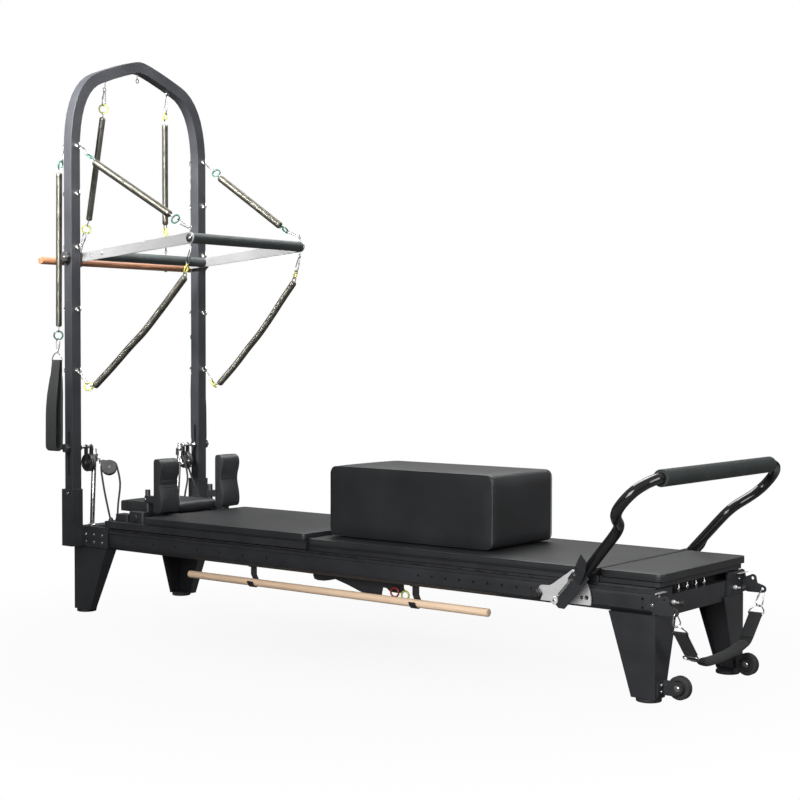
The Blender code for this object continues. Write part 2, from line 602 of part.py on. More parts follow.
for label, side in SIDES.items():
    sector = place(
        f"sector_plate_{label}",
        prism([(2.1125, 0.2610), (2.1195, 0.2812), (2.1060, 0.2981), (2.1100, 0.3050),
               (2.1190, 0.3072), (2.1440, 0.3082), (2.1580, 0.3160)]
              + arc(BAR_PIVOT, SECTOR_RADIUS, 73, -8.5, 12), "xz", *spans(side, 0.2803, 0.2853)),
        SATIN)
    cut(sector, lathe([(0.0064, 0.27), (0.0064, 0.30)], (BAR_PIVOT[0], 0, BAR_PIVOT[1]),
                      (0, side, 0), 12))
    for reach, radius in ((0.0769, 0.0046), (0.0611, 0.0022)):
        x, z = arc(BAR_PIVOT, reach, 6.5, 6.5, 1)[0]
        cut(sector, lathe([(radius, 0.27), (radius, 0.30)], (x, 0, z), (0, side, 0), 10))

    lever = [
        [on_bar(s, side * a, n) for s, n, a in
         ((*low, y), (*high, y), (*high, y + 0.004), (*low, y + 0.004))]
        for y, low, high in (
            (0.3390, (0.0960, -0.0015), (0.0960, 0.0300)),
            (0.3500, (0.1200, -0.0045), (0.1230, 0.0300)),
            (0.3640, (0.1425, -0.0086), (0.1520, 0.0265)),
            (0.3740, (0.1863, -0.0150), (0.1812, 0.0153)))
    ]
    place(f"lock_lever_{label}", loft(lever), BLACK_COAT, on_bar(0.105, side * 0.341, 0.009))

# Spare pole under the near rail
place("wooden_dowel", lathe([(DOWEL_RADIUS, DOWEL_X[0]), (DOWEL_RADIUS, DOWEL_X[1])],
                            (0, -DOWEL_Y, DOWEL_Z), (1, 0, 0), 16), BEECH)


# Push-through bar: two tapered arms, two cross tubes, pivot pins with their knobs

lean = math.degrees(math.atan2(PUSH_FRONT[1] - PUSH_PIVOT[1], PUSH_FRONT[0] - PUSH_PIVOT[0]))
blade = (arc(PUSH_PIVOT, PUSH_HALF[0], lean + 90, lean + 270, 6)
         + arc(PUSH_FRONT, PUSH_HALF[1], lean - 90, lean + 90, 8))
push = place("push_bar_frame", prism(blade, "xz", *spans(-1, *PUSH_ARM_Y)), SATIN,
             (PUSH_PIVOT[0], 0, PUSH_PIVOT[1]))
join(push, prism(blade, "xz", *spans(1, *PUSH_ARM_Y)))
for x, z in (PUSH_FRONT, PUSH_REAR):
    join(push, lathe([(0.0125, -0.291), (0.0125, 0.291)], (x, 0, z), (0, 1, 0), 12))
for side in SIDES.values():
    pin = [(0.0060, 0.2950), (0.0060, 0.3522), (0.0190, 0.3522), (0.0220, 0.3560),
           (0.0220, 0.3680), (0.0180, 0.3720)]
    join(push, lathe(pin, (PUSH_PIVOT[0], 0, PUSH_PIVOT[1]), (0, side, 0), 12))
for label, (x, z), reach in (("front", PUSH_FRONT, 0.2893), ("rear", PUSH_REAR, 0.2860)):
    place(f"push_bar_{label}_grip",
          lathe([(0.0128, -reach), (0.0190, -reach), (0.0190, reach), (0.0128, reach)],
                (x, 0, z), (0, 1, 0), 20, closed=True), FOAM)

# Roll-down bar, hung from the arch
place("rolldown_bar", lathe([(ROLL_RADIUS, -ROLL_HALF), (ROLL_RADIUS, ROLL_HALF)],
                            (ROLL_X, 0, ROLL_Z), (0, 1, 0), 16), BROWN_WOOD)


# Springs: a close coil between two hooks

def spring(name, side, lead, coil, tail):
    """The coil follows its points; lead and tail are the hooks' points."""
    lead, coil, tail = ([Vector((x, side * y, z)) for x, y, z in run] for run in (lead, coil, tail))
    bend = through(coil, 2) if len(coil) > 2 else coil
    first = bend[0].lerp(bend[1], 0.010 / (bend[1] - bend[0]).length)
    last = bend[-1].lerp(bend[-2], 0.010 / (bend[-1] - bend[-2]).length)
    body = [bend[0], first, *bend[1:-1], last, bend[-1]]
    coil_radius = COIL_RADII[name.split("_")[0]]
    radii = ([HOOK_RADIUS] * (len(lead) + 1) + [coil_radius] * (len(body) - 2)
             + [HOOK_RADIUS] * (len(tail) + 1))
    return place(name, rod(lead + body + tail, radii, 8), SPRING_STEEL)


for label, side in SIDES.items():
    spring(f"upper_spring_{label}", side, [(0.0620, 0.3300, 1.7740)],
           [(0.1520, 0.3240, 1.7070), (0.5140, 0.2935, 1.4990)], [(0.6140, 0.2870, 1.4500)])
    spring(f"lower_spring_{label}", side,
           [(0.0600, 0.3300, 0.9140), (0.1050, 0.3287, 0.8735)],
           [(0.1500, 0.3280, 0.8770), (0.2405, 0.3215, 0.9480), (0.3190, 0.3140, 1.0156),
            (0.3930, 0.3065, 1.0759), (0.4630, 0.3000, 1.1430), (0.5245, 0.2935, 1.2050),
            (0.5830, 0.2895, 1.2630)],
           [(0.6020, 0.2880, 1.2950), (0.6160, 0.2870, 1.3720)])
    spring(f"arch_spring_{label}", side, [(0.0170, 0.1600, 2.0200)],
           [(0.0020, 0.1590, 1.9090), (-0.0360, 0.2070, 1.5200)], [(-0.0575, 0.2230, 1.3800)])

    # Behind each upright a spring hangs with a padded strap loop
    hanging = spring(f"back_spring_{label}", side, [(-0.0300, 0.3350, 1.7800)],
                     [(-0.0300, 0.3500, 1.6750), (-0.0300, 0.3550, 1.1040)],
                     [(-0.0300, 0.3650, 0.9650)])
    outer, inner = (
        arc((0.3655, 0.9600), 0.0075 - skin, 0, 180, 6)
        + arc((0.3800, 0.6445), 0.0175 - skin, 180, 360, 8)
        for skin in (0.0, 0.0040)
    )
    back, front = -0.0550, -0.0050
    join(hanging, loft([[(x, side * y, z) for y, z in outline]
                        for x, outline in ((back, outer), (front, outer), (front, inner),
                                           (back, inner))], closed=True))

# Foot strap between the two ears at the foot end
strap_route = [
    (STRAP_X, -0.2480, 0.2055), (STRAP_X, -0.2120, 0.1670), (STRAP_X, -0.1761, 0.1300),
    (STRAP_X, -0.1400, 0.1100), (STRAP_X, -0.0950, 0.1010), (STRAP_X, -0.0400, 0.0990),
    (STRAP_X, 0.0200, 0.1005), (STRAP_X, 0.0800, 0.1050), (STRAP_X, 0.1300, 0.1130),
    (STRAP_X, 0.1640, 0.1250), (STRAP_X, 0.2000, 0.1590), (STRAP_X, 0.2400, 0.1985),
]
strap = place("foot_strap", band(through(strap_route, 3), 0.0190, 0.0020, (1, 0, 0)), WEBBING,
              (2.5618, 0, 0.2695))
for side, end in ((-1, strap_route[0]), (1, strap_route[-1])):
    join(strap, rod([(2.5610, side * 0.2720, 0.2560), (STRAP_X, side * 0.2650, 0.2290),
                     (STRAP_X, end[1] - side * 0.0030, end[2] - 0.0030)], 0.0030, 8))
padding = [p for p in through(strap_route, 3) if -0.135 < p.y < 0.140]
join(strap, rod(padding, 0.0150, 12))
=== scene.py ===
import bpy
import bmesh
import math
from mathutils import Matrix, Vector
from mathutils.kdtree import KDTree


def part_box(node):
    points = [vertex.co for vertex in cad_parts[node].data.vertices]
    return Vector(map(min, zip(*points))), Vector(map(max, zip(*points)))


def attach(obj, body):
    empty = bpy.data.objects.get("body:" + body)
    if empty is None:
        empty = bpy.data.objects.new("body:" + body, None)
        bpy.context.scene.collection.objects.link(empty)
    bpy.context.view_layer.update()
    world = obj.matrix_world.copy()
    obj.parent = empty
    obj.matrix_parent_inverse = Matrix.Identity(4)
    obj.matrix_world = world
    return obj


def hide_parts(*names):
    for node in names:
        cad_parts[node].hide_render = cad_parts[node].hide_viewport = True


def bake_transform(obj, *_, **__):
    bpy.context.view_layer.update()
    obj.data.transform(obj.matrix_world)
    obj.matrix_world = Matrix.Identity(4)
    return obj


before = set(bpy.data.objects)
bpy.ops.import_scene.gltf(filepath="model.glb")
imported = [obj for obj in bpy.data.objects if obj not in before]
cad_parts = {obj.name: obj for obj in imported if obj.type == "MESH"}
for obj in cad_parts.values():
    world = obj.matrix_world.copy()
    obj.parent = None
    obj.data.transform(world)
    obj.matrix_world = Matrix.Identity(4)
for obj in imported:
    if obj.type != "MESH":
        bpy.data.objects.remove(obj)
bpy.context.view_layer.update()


# Camera, light and floor
# The camera stands low beyond the foot end and looks along the machine. The background is plain white, and
# soft light comes from large panels and the sky, with a narrower panel for the upper part of the tower.

FEET_TO_MIDDLE = 1.2526
EYE, FOCAL_LENGTH, PICTURE_WIDTH, SENSOR_WIDTH = (4.63613, -4.14862, 1.00273), 1539.836, 800, 36.0


def at(x, y, z):
    """A place given from the centre of the head-end feet, along, across and up."""
    return Vector((x - FEET_TO_MIDDLE, y, z))


yaw, pitch, roll = 0.670295, -0.031108, 0.001916
ahead = Vector((-math.sin(yaw) * math.cos(pitch), math.cos(yaw) * math.cos(pitch), math.sin(pitch)))
level = Vector((math.cos(yaw), math.sin(yaw), 0.0))
rise = level.cross(ahead)
right = level * math.cos(roll) + rise * math.sin(roll)
up = rise * math.cos(roll) - level * math.sin(roll)
camera = bpy.data.objects.new("camera", bpy.data.cameras.new("camera"))
camera.data.sensor_width = SENSOR_WIDTH
camera.data.lens = SENSOR_WIDTH * FOCAL_LENGTH / PICTURE_WIDTH
camera.matrix_world = Matrix.Translation(at(*EYE)) @ Matrix((right, up, -ahead)).transposed().to_4x4()
bpy.context.collection.objects.link(camera)
bpy.context.scene.camera = camera
bpy.context.scene.view_settings.view_transform = "Standard"

world = bpy.data.worlds.new("soft_sky")
world.use_nodes = True
bpy.context.scene.world = world
sky = world.node_tree
sky.nodes.clear()
white, dome, joined = (sky.nodes.new(kind) for kind in (
    "ShaderNodeBackground", "ShaderNodeBackground", "ShaderNodeMixShader"))
white.inputs["Color"].default_value = (1.0, 1.0, 1.0, 1.0)
dome.inputs["Strength"].default_value = 0.40
height_of = sky.nodes.new("ShaderNodeSeparateXYZ")
shade = sky.nodes.new("ShaderNodeMapRange")
for socket, value in (("From Min", 0.0), ("From Max", 0.50), ("To Min", 0.06), ("To Max", 1.0)):
    shade.inputs[socket].default_value = value
for start, stop in (
        (sky.nodes.new("ShaderNodeTexCoord").outputs["Generated"], height_of.inputs[0]),
        (height_of.outputs["Z"], shade.inputs["Value"]), (shade.outputs[0], dome.inputs["Color"]),
        (sky.nodes.new("ShaderNodeLightPath").outputs["Is Camera Ray"], joined.inputs[0]),
        (dome.outputs[0], joined.inputs[1]), (white.outputs[0], joined.inputs[2]),
        (joined.outputs[0], sky.nodes.new("ShaderNodeOutputWorld").inputs["Surface"])):
    sky.links.new(start, stop)

for name, place, aim, size, power in (
        ("panel_near", (3.3, -3.4, 1.7), (2.0, 0.0, 0.4), 2.0, 150.0),
        ("panel_tower", (0.5, -2.3, 2.9), (0.0, -0.3, 1.95), 0.8, 66.0),
        ("panel_top", (0.6, 1.6, 4.0), (1.3, 0.0, 0.5), 2.6, 175.0),
        ("panel_foot", (5.4, 1.2, 1.8), (1.6, 0.0, 0.6), 1.4, 34.0)):
    lamp = bpy.data.objects.new(name, bpy.data.lights.new(name, "AREA"))
    lamp.data.size = size
    lamp.data.energy = power
    lamp.data.spread = math.radians(50.0 if name == "panel_tower" else 180.0)
    way = at(*aim) - at(*place)
    lamp.matrix_world = Matrix.Translation(at(*place)) @ way.to_track_quat("-Z", "Y").to_matrix().to_4x4()
    bpy.context.collection.objects.link(lamp)


class Value:
    """A number from a shader node, which takes part in sums."""

    def __init__(self, tree, socket):
        self.tree, self.socket = tree, socket

    def math(self, operation, other=0.0):
        made = self.tree.nodes.new("ShaderNodeMath")
        made.operation = operation
        for slot, end in zip(made.inputs, (self, other)):
            if isinstance(end, Value):
                self.tree.links.new(end.socket, slot)
            else:
                slot.default_value = end
        return Value(self.tree, made.outputs[0])

    def __add__(self, other):
        return self.math("ADD", other)

    def __sub__(self, other):
        return self.math("SUBTRACT", other)

    def __mul__(self, other):
        return self.math("MULTIPLY", other)


class Finish:
    """A material, put together from nodes."""

    slots = {}

    def __init__(self, name, slot=None, even=()):
        self.slots[name] = slot
        self.made = bpy.data.materials.new(name)
        self.made.use_nodes = True
        self.tree = self.made.node_tree
        self.shader = self.tree.nodes["Principled BSDF"]
        for socket, value in dict(even).items():
            self.shader.inputs[socket].default_value = value

    def node(self, kind, settings=(), sockets=(), output=0):
        """Makes a node: its settings first, then the values or links of its sockets."""
        made = self.tree.nodes.new(kind)
        for setting, value in dict(settings).items():
            if setting == "stops":
                for number, (place, colour) in enumerate(value):
                    ramp = made.color_ramp.elements
                    stop = ramp[number] if number < 2 else ramp.new(place)
                    stop.position, stop.color = place, (*colour, 1.0)
            else:
                setattr(made, setting, value)
        for socket, value in dict(sockets).items():
            if isinstance(value, Value):
                self.tree.links.new(value.socket, made.inputs[socket])
            else:
                made.inputs[socket].default_value = value
        return Value(self.tree, made.outputs[output])

    def spots(self, scale=(1.0, 1.0, 1.0)):
        """Places on the piece, stretched along its axes."""
        here = self.node("ShaderNodeTexCoord", output=3)
        return self.node("ShaderNodeMapping", {}, {"Vector": here, "Scale": scale})

    def unrolled(self):
        """Places round a piece and along it, from the map that skin makes."""
        flat = self.node("ShaderNodeUVMap", {"uv_map": "UVMap"})
        return [self.node("ShaderNodeSeparateXYZ", {}, {"Vector": flat}, output) for output in (0, 1)]

    def noise(self, scale, detail=2.0, where=None, rough=0.5):
        return self.node("ShaderNodeTexNoise", {}, {"Vector": where or self.spots(), "Scale": scale,
                                                     "Detail": detail, "Roughness": rough})

    def cells(self, scale, where=None, feature="F1"):
        return self.node("ShaderNodeTexVoronoi", {"feature": feature},
                         {"Vector": where or self.spots(), "Scale": scale})

    def ramp(self, value, *stops):
        return self.node("ShaderNodeValToRGB", {"stops": stops}, {"Fac": value})

    def coat(self, colour, roughness, height, depth, strength):
        """Joins colour, roughness and fine relief to the shader."""
        bump = self.node("ShaderNodeBump", {}, {"Height": height, "Distance": depth, "Strength": strength})
        for name, value in (("Base Color", colour), ("Roughness", roughness), ("Normal", bump)):
            self.tree.links.new(value.socket, self.shader.inputs[name])
        return self.made


pale = Finish("pale_floor", None, {"Roughness": 0.9, "Base Color": (0.16, 0.16, 0.16, 1.0)})
glow = pale.tree.nodes.new("ShaderNodeEmission")
mixed = pale.tree.nodes.new("ShaderNodeMixShader")
away = pale.node("ShaderNodeVectorMath", {"operation": "LENGTH"}, {0: pale.spots()}, 1)
share = pale.node("ShaderNodeLightPath") * ((away - 1.5) * 0.05 + 0.975).math("MINIMUM", 1.0)
for start, stop in ((share.socket, mixed.inputs[0]), (pale.shader.outputs[0], mixed.inputs[1]),
                    (glow.outputs[0], mixed.inputs[2]),
                    (mixed.outputs[0], pale.tree.nodes["Material Output"].inputs[0])):
    pale.tree.links.new(start, stop)
ground = bpy.data.meshes.new("floor")
ground.from_pydata([(-9, -9, -0.001), (9, -9, -0.001), (9, 9, -0.001), (-9, 9, -0.001)], [], [(0, 1, 2, 3)])
ground.materials.append(pale.made)
floor = bpy.data.objects.new("floor", ground)
bpy.context.collection.objects.link(floor)


# Ropes
# A black braided rope rises from the cleats on the carriage, rounds the sheave on its post and comes down
# again on each side. It is made in two parts, one over the sheave and one for the ends.

SIDES = (("near", -1), ("far", 1))
POST_FOOT, POST_TIP = (0.0000, 0.2220, 0.3303), (0.0190, 0.2250, 0.6280)
SHEAVE, SHEAVE_TILT = (0.0780, 0.2020, 0.5540), (0.66, 0.575, 0.45)
OUTER_FALL = [(0.1330, 0.2440, 0.3610), (0.1180, 0.2430, 0.4020), (0.0860, 0.2350, 0.4760)]
INNER_FALLS = {"near": [(0.1070, 0.1730, 0.4940), (0.1220, 0.1960, 0.4180), (0.1330, 0.2100, 0.3610)],
               "far": [(0.1150, 0.1760, 0.4940), (0.1330, 0.1440, 0.4250), (0.1360, 0.1400, 0.3610)]}
ROPE_RADIUS = 0.0038


def sheave_of(side):
    """The middle of a rope's sheave and its axis."""
    spin = Vector((SHEAVE_TILT[0], side * SHEAVE_TILT[1], SHEAVE_TILT[2])).normalized()
    return at(SHEAVE[0], side * SHEAVE[1], SHEAVE[2]), spin


def through(points, steps):
    """A smooth curve through points."""
    points = [Vector(p) for p in points]
    ends = [2 * points[0] - points[1]] + points + [2 * points[-1] - points[-2]]
    curve = []
    for a, b, c, d in zip(ends[:-3], ends[1:-2], ends[2:-1], ends[3:]):
        for i in range(steps):
            t = i / steps
            curve.append(0.5 * (2 * b + (c - a) * t + (2 * a - 5 * b + 4 * c - d) * t * t
                                + (3 * b - a - 3 * c + d) * t ** 3))
    return curve + [points[-1]]


def circle(radius, count):
    """Points of a circle about nought, in the plane of the first two axes."""
    return [Vector((radius * math.cos(a), radius * math.sin(a), 0.0))
            for a in (2 * math.pi * k / count for k in range(count))]


def skin(rings, closed=False, bm=None):
    """Joins rings of equal length with faces; a map is made along and round them."""
    bm = bm or bmesh.new()
    fine = bm.loops.layers.uv.verify()
    rows = [[bm.verts.new(p) for p in ring] for ring in rings]
    pairs = list(zip(rows[:-1], rows[1:])) + ([(rows[-1], rows[0])] if closed else [])
    run = 0.0
    for low, high in pairs:
        step = (high[0].co - low[0].co).length
        for i in range(len(low)):
            j = (i + 1) % len(low)
            face = bm.faces.new((low[i], low[j], high[j], high[i]))
            for loop, u, v in zip(face.loops, (i, i + 1, i + 1, i), (run, run, run + step, run + step)):
                loop[fine].uv = (u / len(low), v)
        run += step
    if not closed:
        bm.faces.new(rows[0])
        bm.faces.new(rows[-1])
    return bm


def tube(path, radii, count=16, bm=None, loop=False):
    """A round rod along a path, with one radius or one for each point."""
    path = [Vector(p) for p in path]
    radii = radii if isinstance(radii, (list, tuple)) else [radii] * len(path)
    number = len(path)
    way = (path[1] - path[0]).normalized()
    turn = way.to_track_quat("Z", "Y")
    rings = []
    for i, (point, radius) in enumerate(zip(path, radii)):
        ahead = path[(i + 1) % number] if loop else path[min(i + 1, number - 1)]
        behind = path[i - 1] if loop else path[max(i - 1, 0)]
        new = ((ahead - point).normalized() + (point - behind).normalized()).normalized()
        turn = way.rotation_difference(new) @ turn
        way = new
        rings.append([point + turn @ p for p in circle(radius, count)])
    return skin(rings, closed=loop, bm=bm)


def turned(profile, centre, axis, count=32, bm=None, closed=False):
    """A turned piece from (radius, distance along the axis) pairs."""
    way = Vector(axis).normalized()
    turn = way.to_track_quat("Z", "Y")
    rings = [[Vector(centre) + way * d + turn @ p for p in circle(r, count)] for r, d in profile]
    return skin(rings, closed=closed, bm=bm)


def both_faces(half, middle=()):
    """A turned profile from one face to the other, from the half before its middle."""
    return [*half, *middle, *((r, -d) for r, d in reversed(half))]


def piece(name, bm, finish, body=None, instead=(), sharp=35.0, bevel=0.0):
    """Makes a finished piece from a mesh, and says what it rides on and stands for."""
    bmesh.ops.recalc_face_normals(bm, faces=bm.faces)
    mesh = bpy.data.meshes.new(name)
    bm.to_mesh(mesh)
    bm.free()
    mesh.materials.append(finish)
    mesh.shade_smooth()
    mesh.set_sharp_from_angle(angle=math.radians(sharp))
    made = bpy.data.objects.new(name, mesh)
    bpy.context.collection.objects.link(made)
    if bevel:
        soften = made.modifiers.new("soft_edges", "BEVEL")
        soften.width, soften.segments, soften.limit_method = bevel, 2, "ANGLE"
        soften.angle_limit = math.radians(40.0)
        soften.harden_normals = True
    if instead:
        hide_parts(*instead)
    if body:
        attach(made, body)
    return made


rope = Finish("braided_rope", "black_rope")
round_it, along_it = rope.unrolled()
left_strands = ((round_it * 6.0 + along_it * 240.0) * 6.2832).math("SINE")
right_strands = ((round_it * 6.0 - along_it * 240.0) * 6.2832).math("SINE")
braid = left_strands.math("MAXIMUM", right_strands)
fuzz = rope.noise(900.0, 3.0)
rope_black = rope.coat(
    rope.ramp(braid * 0.35 + fuzz * 0.4, (0.0, (0.006, 0.006, 0.007)), (1.0, (0.055, 0.055, 0.060))),
    fuzz * 0.2 + 0.7, braid + fuzz * 0.4, 0.0006, 0.8)

for label, side in SIDES:
    centre, spin = sheave_of(side)
    flat = spin.cross(Vector((0, 0, 1))).normalized()
    flat = flat if flat.y * side > 0 else -flat
    climb = (Vector((0, 0, 1)) - spin * spin.z).normalized()
    wrap = [centre + 0.0305 * (flat * math.cos(a) + climb * math.sin(a))
            for a in (math.pi * i / 4 for i in range(5))]
    outer, inner = ([at(x, side * y, z) for x, y, z in fall] for fall in (OUTER_FALL, INNER_FALLS[label]))
    route = through(outer + wrap + inner, 8)
    over = [p for p in route if p.z > 0.43]
    first, last = route.index(over[0]), route.index(over[-1])
    above = tube(route[first:last + 1], ROPE_RADIUS, 12)
    below = tube(route[last:], ROPE_RADIUS, 12, tube(route[:first + 1], ROPE_RADIUS, 12))
    for part, bm, start, stop, high, low in (("over_sheave", above, f"swivel_{label}", "frame", 0.50, 0.43),
                                             ("ends", below, "frame", "carriage", 0.43, 0.37)):
        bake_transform(piece(f"rope_{label}_{part}", bm, rope_black, instead=(f"rope_{label}",)), start, stop,
                 at(0.1, side * 0.21, high), at(0.1, side * 0.21, low))


# Rails, cross members and legs
# Everything here is folded steel under a fine-grained black powder coat. Its edges are slightly rounded.

coat = Finish("satin_black_coat", "black_powder_coat")
grain = coat.noise(1500.0, 2.0)
cloud = coat.noise(9.0, 4.0)
satin_black = coat.coat(
    coat.ramp(cloud * 0.7 + grain * 0.3, (0.30, (0.013, 0.0135, 0.0155)), (0.72, (0.025, 0.026, 0.030))),
    grain * 0.16 + cloud * 0.10 + 0.30, grain, 0.0004, 0.35)


def copy_of(node):
    """The mesh of a solid, with its loose triangles joined into flat faces."""
    bm = bmesh.new()
    bm.from_mesh(bpy.data.objects[node].data)
    bmesh.ops.remove_doubles(bm, verts=bm.verts, dist=0.00002)
    bmesh.ops.dissolve_limit(bm, angle_limit=math.radians(1.0), verts=bm.verts, edges=bm.edges)
    for layer in list(bm.loops.layers.uv):
        bm.loops.layers.uv.remove(layer)
    return bm


def dress(node, finish, body, bevel):
    """A softer-edged copy that stands for a solid."""
    return piece(f"{node}_finished", copy_of(node), finish, body, (node,), 30.0, bevel)


for node, bevel in (("head_crossbeam", 0.0030), ("foot_crossbeam", 0.0010), ("platform_base", 0.0030),
                    ("tower_frame", 0.0040)):
    dress(node, satin_black, "frame", bevel)
dress("carriage_frame", satin_black, "carriage", 0.0012)
for label, side in SIDES:
    for part, bevel in (("rail", 0.0010), ("leg_head", 0.0012), ("leg_foot", 0.0010),
                        ("tower_socket", 0.0008)):
        dress(f"{part}_{label}", satin_black, "frame", bevel)
    dress(f"lock_lever_{label}", satin_black, f"lock_lever_{label}", 0.0008)


# Feet and wheels
# Grooved rubber feet stand under the legs. Two small wheels with black treads and silver bolts sit behind
# the foot end, for moving the machine.

soft_rubber = Finish("black_rubber_grip", "black_rubber")
pores = soft_rubber.noise(700.0, 3.0)
dust = soft_rubber.noise(24.0, 3.0)
rubber = soft_rubber.coat(
    soft_rubber.ramp(dust, (0.35, (0.010, 0.010, 0.011)), (0.75, (0.030, 0.030, 0.031))),
    pores * 0.2 + 0.6, pores, 0.0003, 0.5)

polished = Finish("polished_chrome", "chrome", {"Metallic": 1.0})
smear = polished.noise(60.0, 3.0)
fine_lines = polished.noise(900.0, 2.0, polished.spots((1.0, 1.0, 0.08)))
chrome = polished.coat(
    polished.ramp(smear, (0.3, (0.50, 0.50, 0.49)), (0.7, (0.70, 0.69, 0.68))),
    smear * 0.12 + fine_lines * 0.08 + 0.10, fine_lines, 0.0001, 0.25)


def washer_and_bolt(place, axis, radius, height, bm=None):
    """A domed bolt head with a hexagon socket on a thin washer."""
    place, axis = Vector(place), Vector(axis)
    bm = turned([(radius * 1.02, 0.0), (radius * 1.02, height * 0.25), (radius * 0.80, height * 0.30),
                 (radius * 0.78, height * 0.60), (radius * 0.60, height * 0.95), (radius * 0.36, height)],
                place, axis, 20, bm)
    bm.faces.ensure_lookup_table()
    return turned([(radius * 0.34, height * 1.001), (radius * 0.30, height * 0.55)], place, axis, 6, bm)


for end, x in (("head", 0.0), ("foot", 2.4620)):
    for label, side in SIDES:
        outline = [(0.0335, 0.0), (0.0362, 0.0008), (0.0374, 0.0028), (0.0374, 0.0046), (0.0364, 0.0052),
                   (0.0364, 0.0060), (0.0374, 0.0066), (0.0374, 0.0086), (0.0366, 0.0100), (0.0345, 0.0107)]
        piece(f"foot_{end}_{label}_grooved", turned(outline, at(x, side * 0.2499, 0.0), (0, 0, 1), 48),
              rubber, "frame", (f"foot_{end}_{label}",))

TREAD = [(0.0205, 0.0093), (0.0225, 0.0123), (0.0310, 0.0123), (0.0334, 0.0111), (0.0345, 0.0081),
         (0.0345, 0.0063),
         (0.0336, 0.0058), (0.0336, 0.0046), (0.0345, 0.0041), (0.0345, 0.0011), (0.0336, 0.0006)]
DISC = [(0.0046, 0.0103), (0.0110, 0.0103), (0.0118, 0.0073), (0.0190, 0.0067), (0.0203, 0.0093)]
for label, side in SIDES:
    for part, half, count in (("tread", TREAD, 48), ("disc", DISC, 40)):
        bm = turned(both_faces(half), at(2.5447, side * 0.2168, 0.0433), (0, side, 0), count, closed=True)
        piece(f"wheel_{label}_{part}", bm, rubber, f"wheel_{label}", (f"wheel_{label}",))
    for number, (y, way) in enumerate(((0.2041, -side), (0.2355, side))):
        bm = washer_and_bolt(at(2.5447, side * y, 0.0433), (0, way, 0), 0.0092, 0.0034)
        piece(f"wheel_{label}_bolt_{number}", bm, chrome, "frame", sharp=40.0)


# Padded boards
# The sitting box, the carriage top, the mat, the foot pad, the headrest and the shoulder rests are foam over
# boards, covered in black leather. A welted seam runs round each cover between its faces and its border.

hide = Finish("grained_leather", "black_leather")
spot = hide.spots()
drift = hide.node("ShaderNodeVectorMath", {"operation": "SCALE"}, {
    0: hide.node("ShaderNodeTexNoise", {}, {"Vector": spot, "Scale": 160.0}, 1), "Scale": 0.0016})
warped = hide.node("ShaderNodeVectorMath", {"operation": "ADD"}, {0: spot, 1: drift})
pebble = hide.cells(620.0, warped, "SMOOTH_F1")
crease = hide.cells(250.0, warped, "DISTANCE_TO_EDGE").math("MINIMUM", 0.12)
patch = hide.noise(5.0, 4.0)
leather = hide.coat(
    hide.ramp(patch * 0.75 + pebble * 0.25, (0.30, (0.012, 0.0125, 0.0135)), (0.70, (0.023, 0.0245, 0.0265))),
    patch * 0.12 + pebble * 0.14 + 0.30, crease * 2.0 - pebble * 0.6, 0.0005, 0.55)

SEAM_INSET, SEAM_STEP, WELT = 0.0012, 0.002, 0.0013


def round_corners(corners, radii, steps=6):
    """A flat outline with its corners rounded."""
    corners = [Vector(c) for c in corners]
    radii = radii if isinstance(radii, (list, tuple)) else [radii] * len(corners)
    outline = []
    for i, (corner, radius) in enumerate(zip(corners, radii)):
        back = (corners[i - 1] - corner).normalized()
        on = (corners[(i + 1) % len(corners)] - corner).normalized()
        reach = radius / math.tan(back.angle(on) / 2)
        middle = corner + (back + on).normalized() * radius / math.sin(back.angle(on) / 2)
        start, stop = corner + back * reach - middle, corner + on * reach - middle
        sweep = start.angle_signed(stop)
        for k in range(steps + 1):
            a = -sweep * k / steps
            outline.append(middle + Vector((start.x * math.cos(a) - start.y * math.sin(a),
                                            start.x * math.sin(a) + start.y * math.cos(a))))
    return outline


def oblong(u, v, radii, steps=6):
    return round_corners([(u[0], v[0]), (u[1], v[0]), (u[1], v[1]), (u[0], v[1])], radii, steps)


def spread(outline, plane, depth):
    """Lays a flat outline in its plane of the frame, at a depth."""
    if plane == "xy":
        return [at(a, b, depth) for a, b in outline]
    return [at(a, depth, b) if plane == "xz" else at(depth, a, b) for a, b in outline]


def slab(outline, plane, low, high, bm=None):
    """A flat outline with a thickness."""
    return skin([spread(outline, plane, low), spread(outline, plane, high)], bm=bm)


def inset(outline, amount):
    """The outline moved inwards."""
    area = sum(a.x * b.y - b.x * a.y for a, b in zip(outline, outline[1:] + outline[:1]))
    moved = []
    for i, p in enumerate(outline):
        way = (outline[(i + 1) % len(outline)] - outline[i - 1]).normalized()
        moved.append(p + Vector((-way.y, way.x)) * math.copysign(amount, area))
    return moved


def dense(points):
    """A closed line with points close together."""
    run = []
    for a, b in zip(points, points[1:] + points[:1]):
        number = max(1, int((b - a).length / SEAM_STEP))
        run += [a.lerp(b, k / number) for k in range(number)]
    return run


def span(side, inner, outer):
    return sorted((side * inner, side * outer))


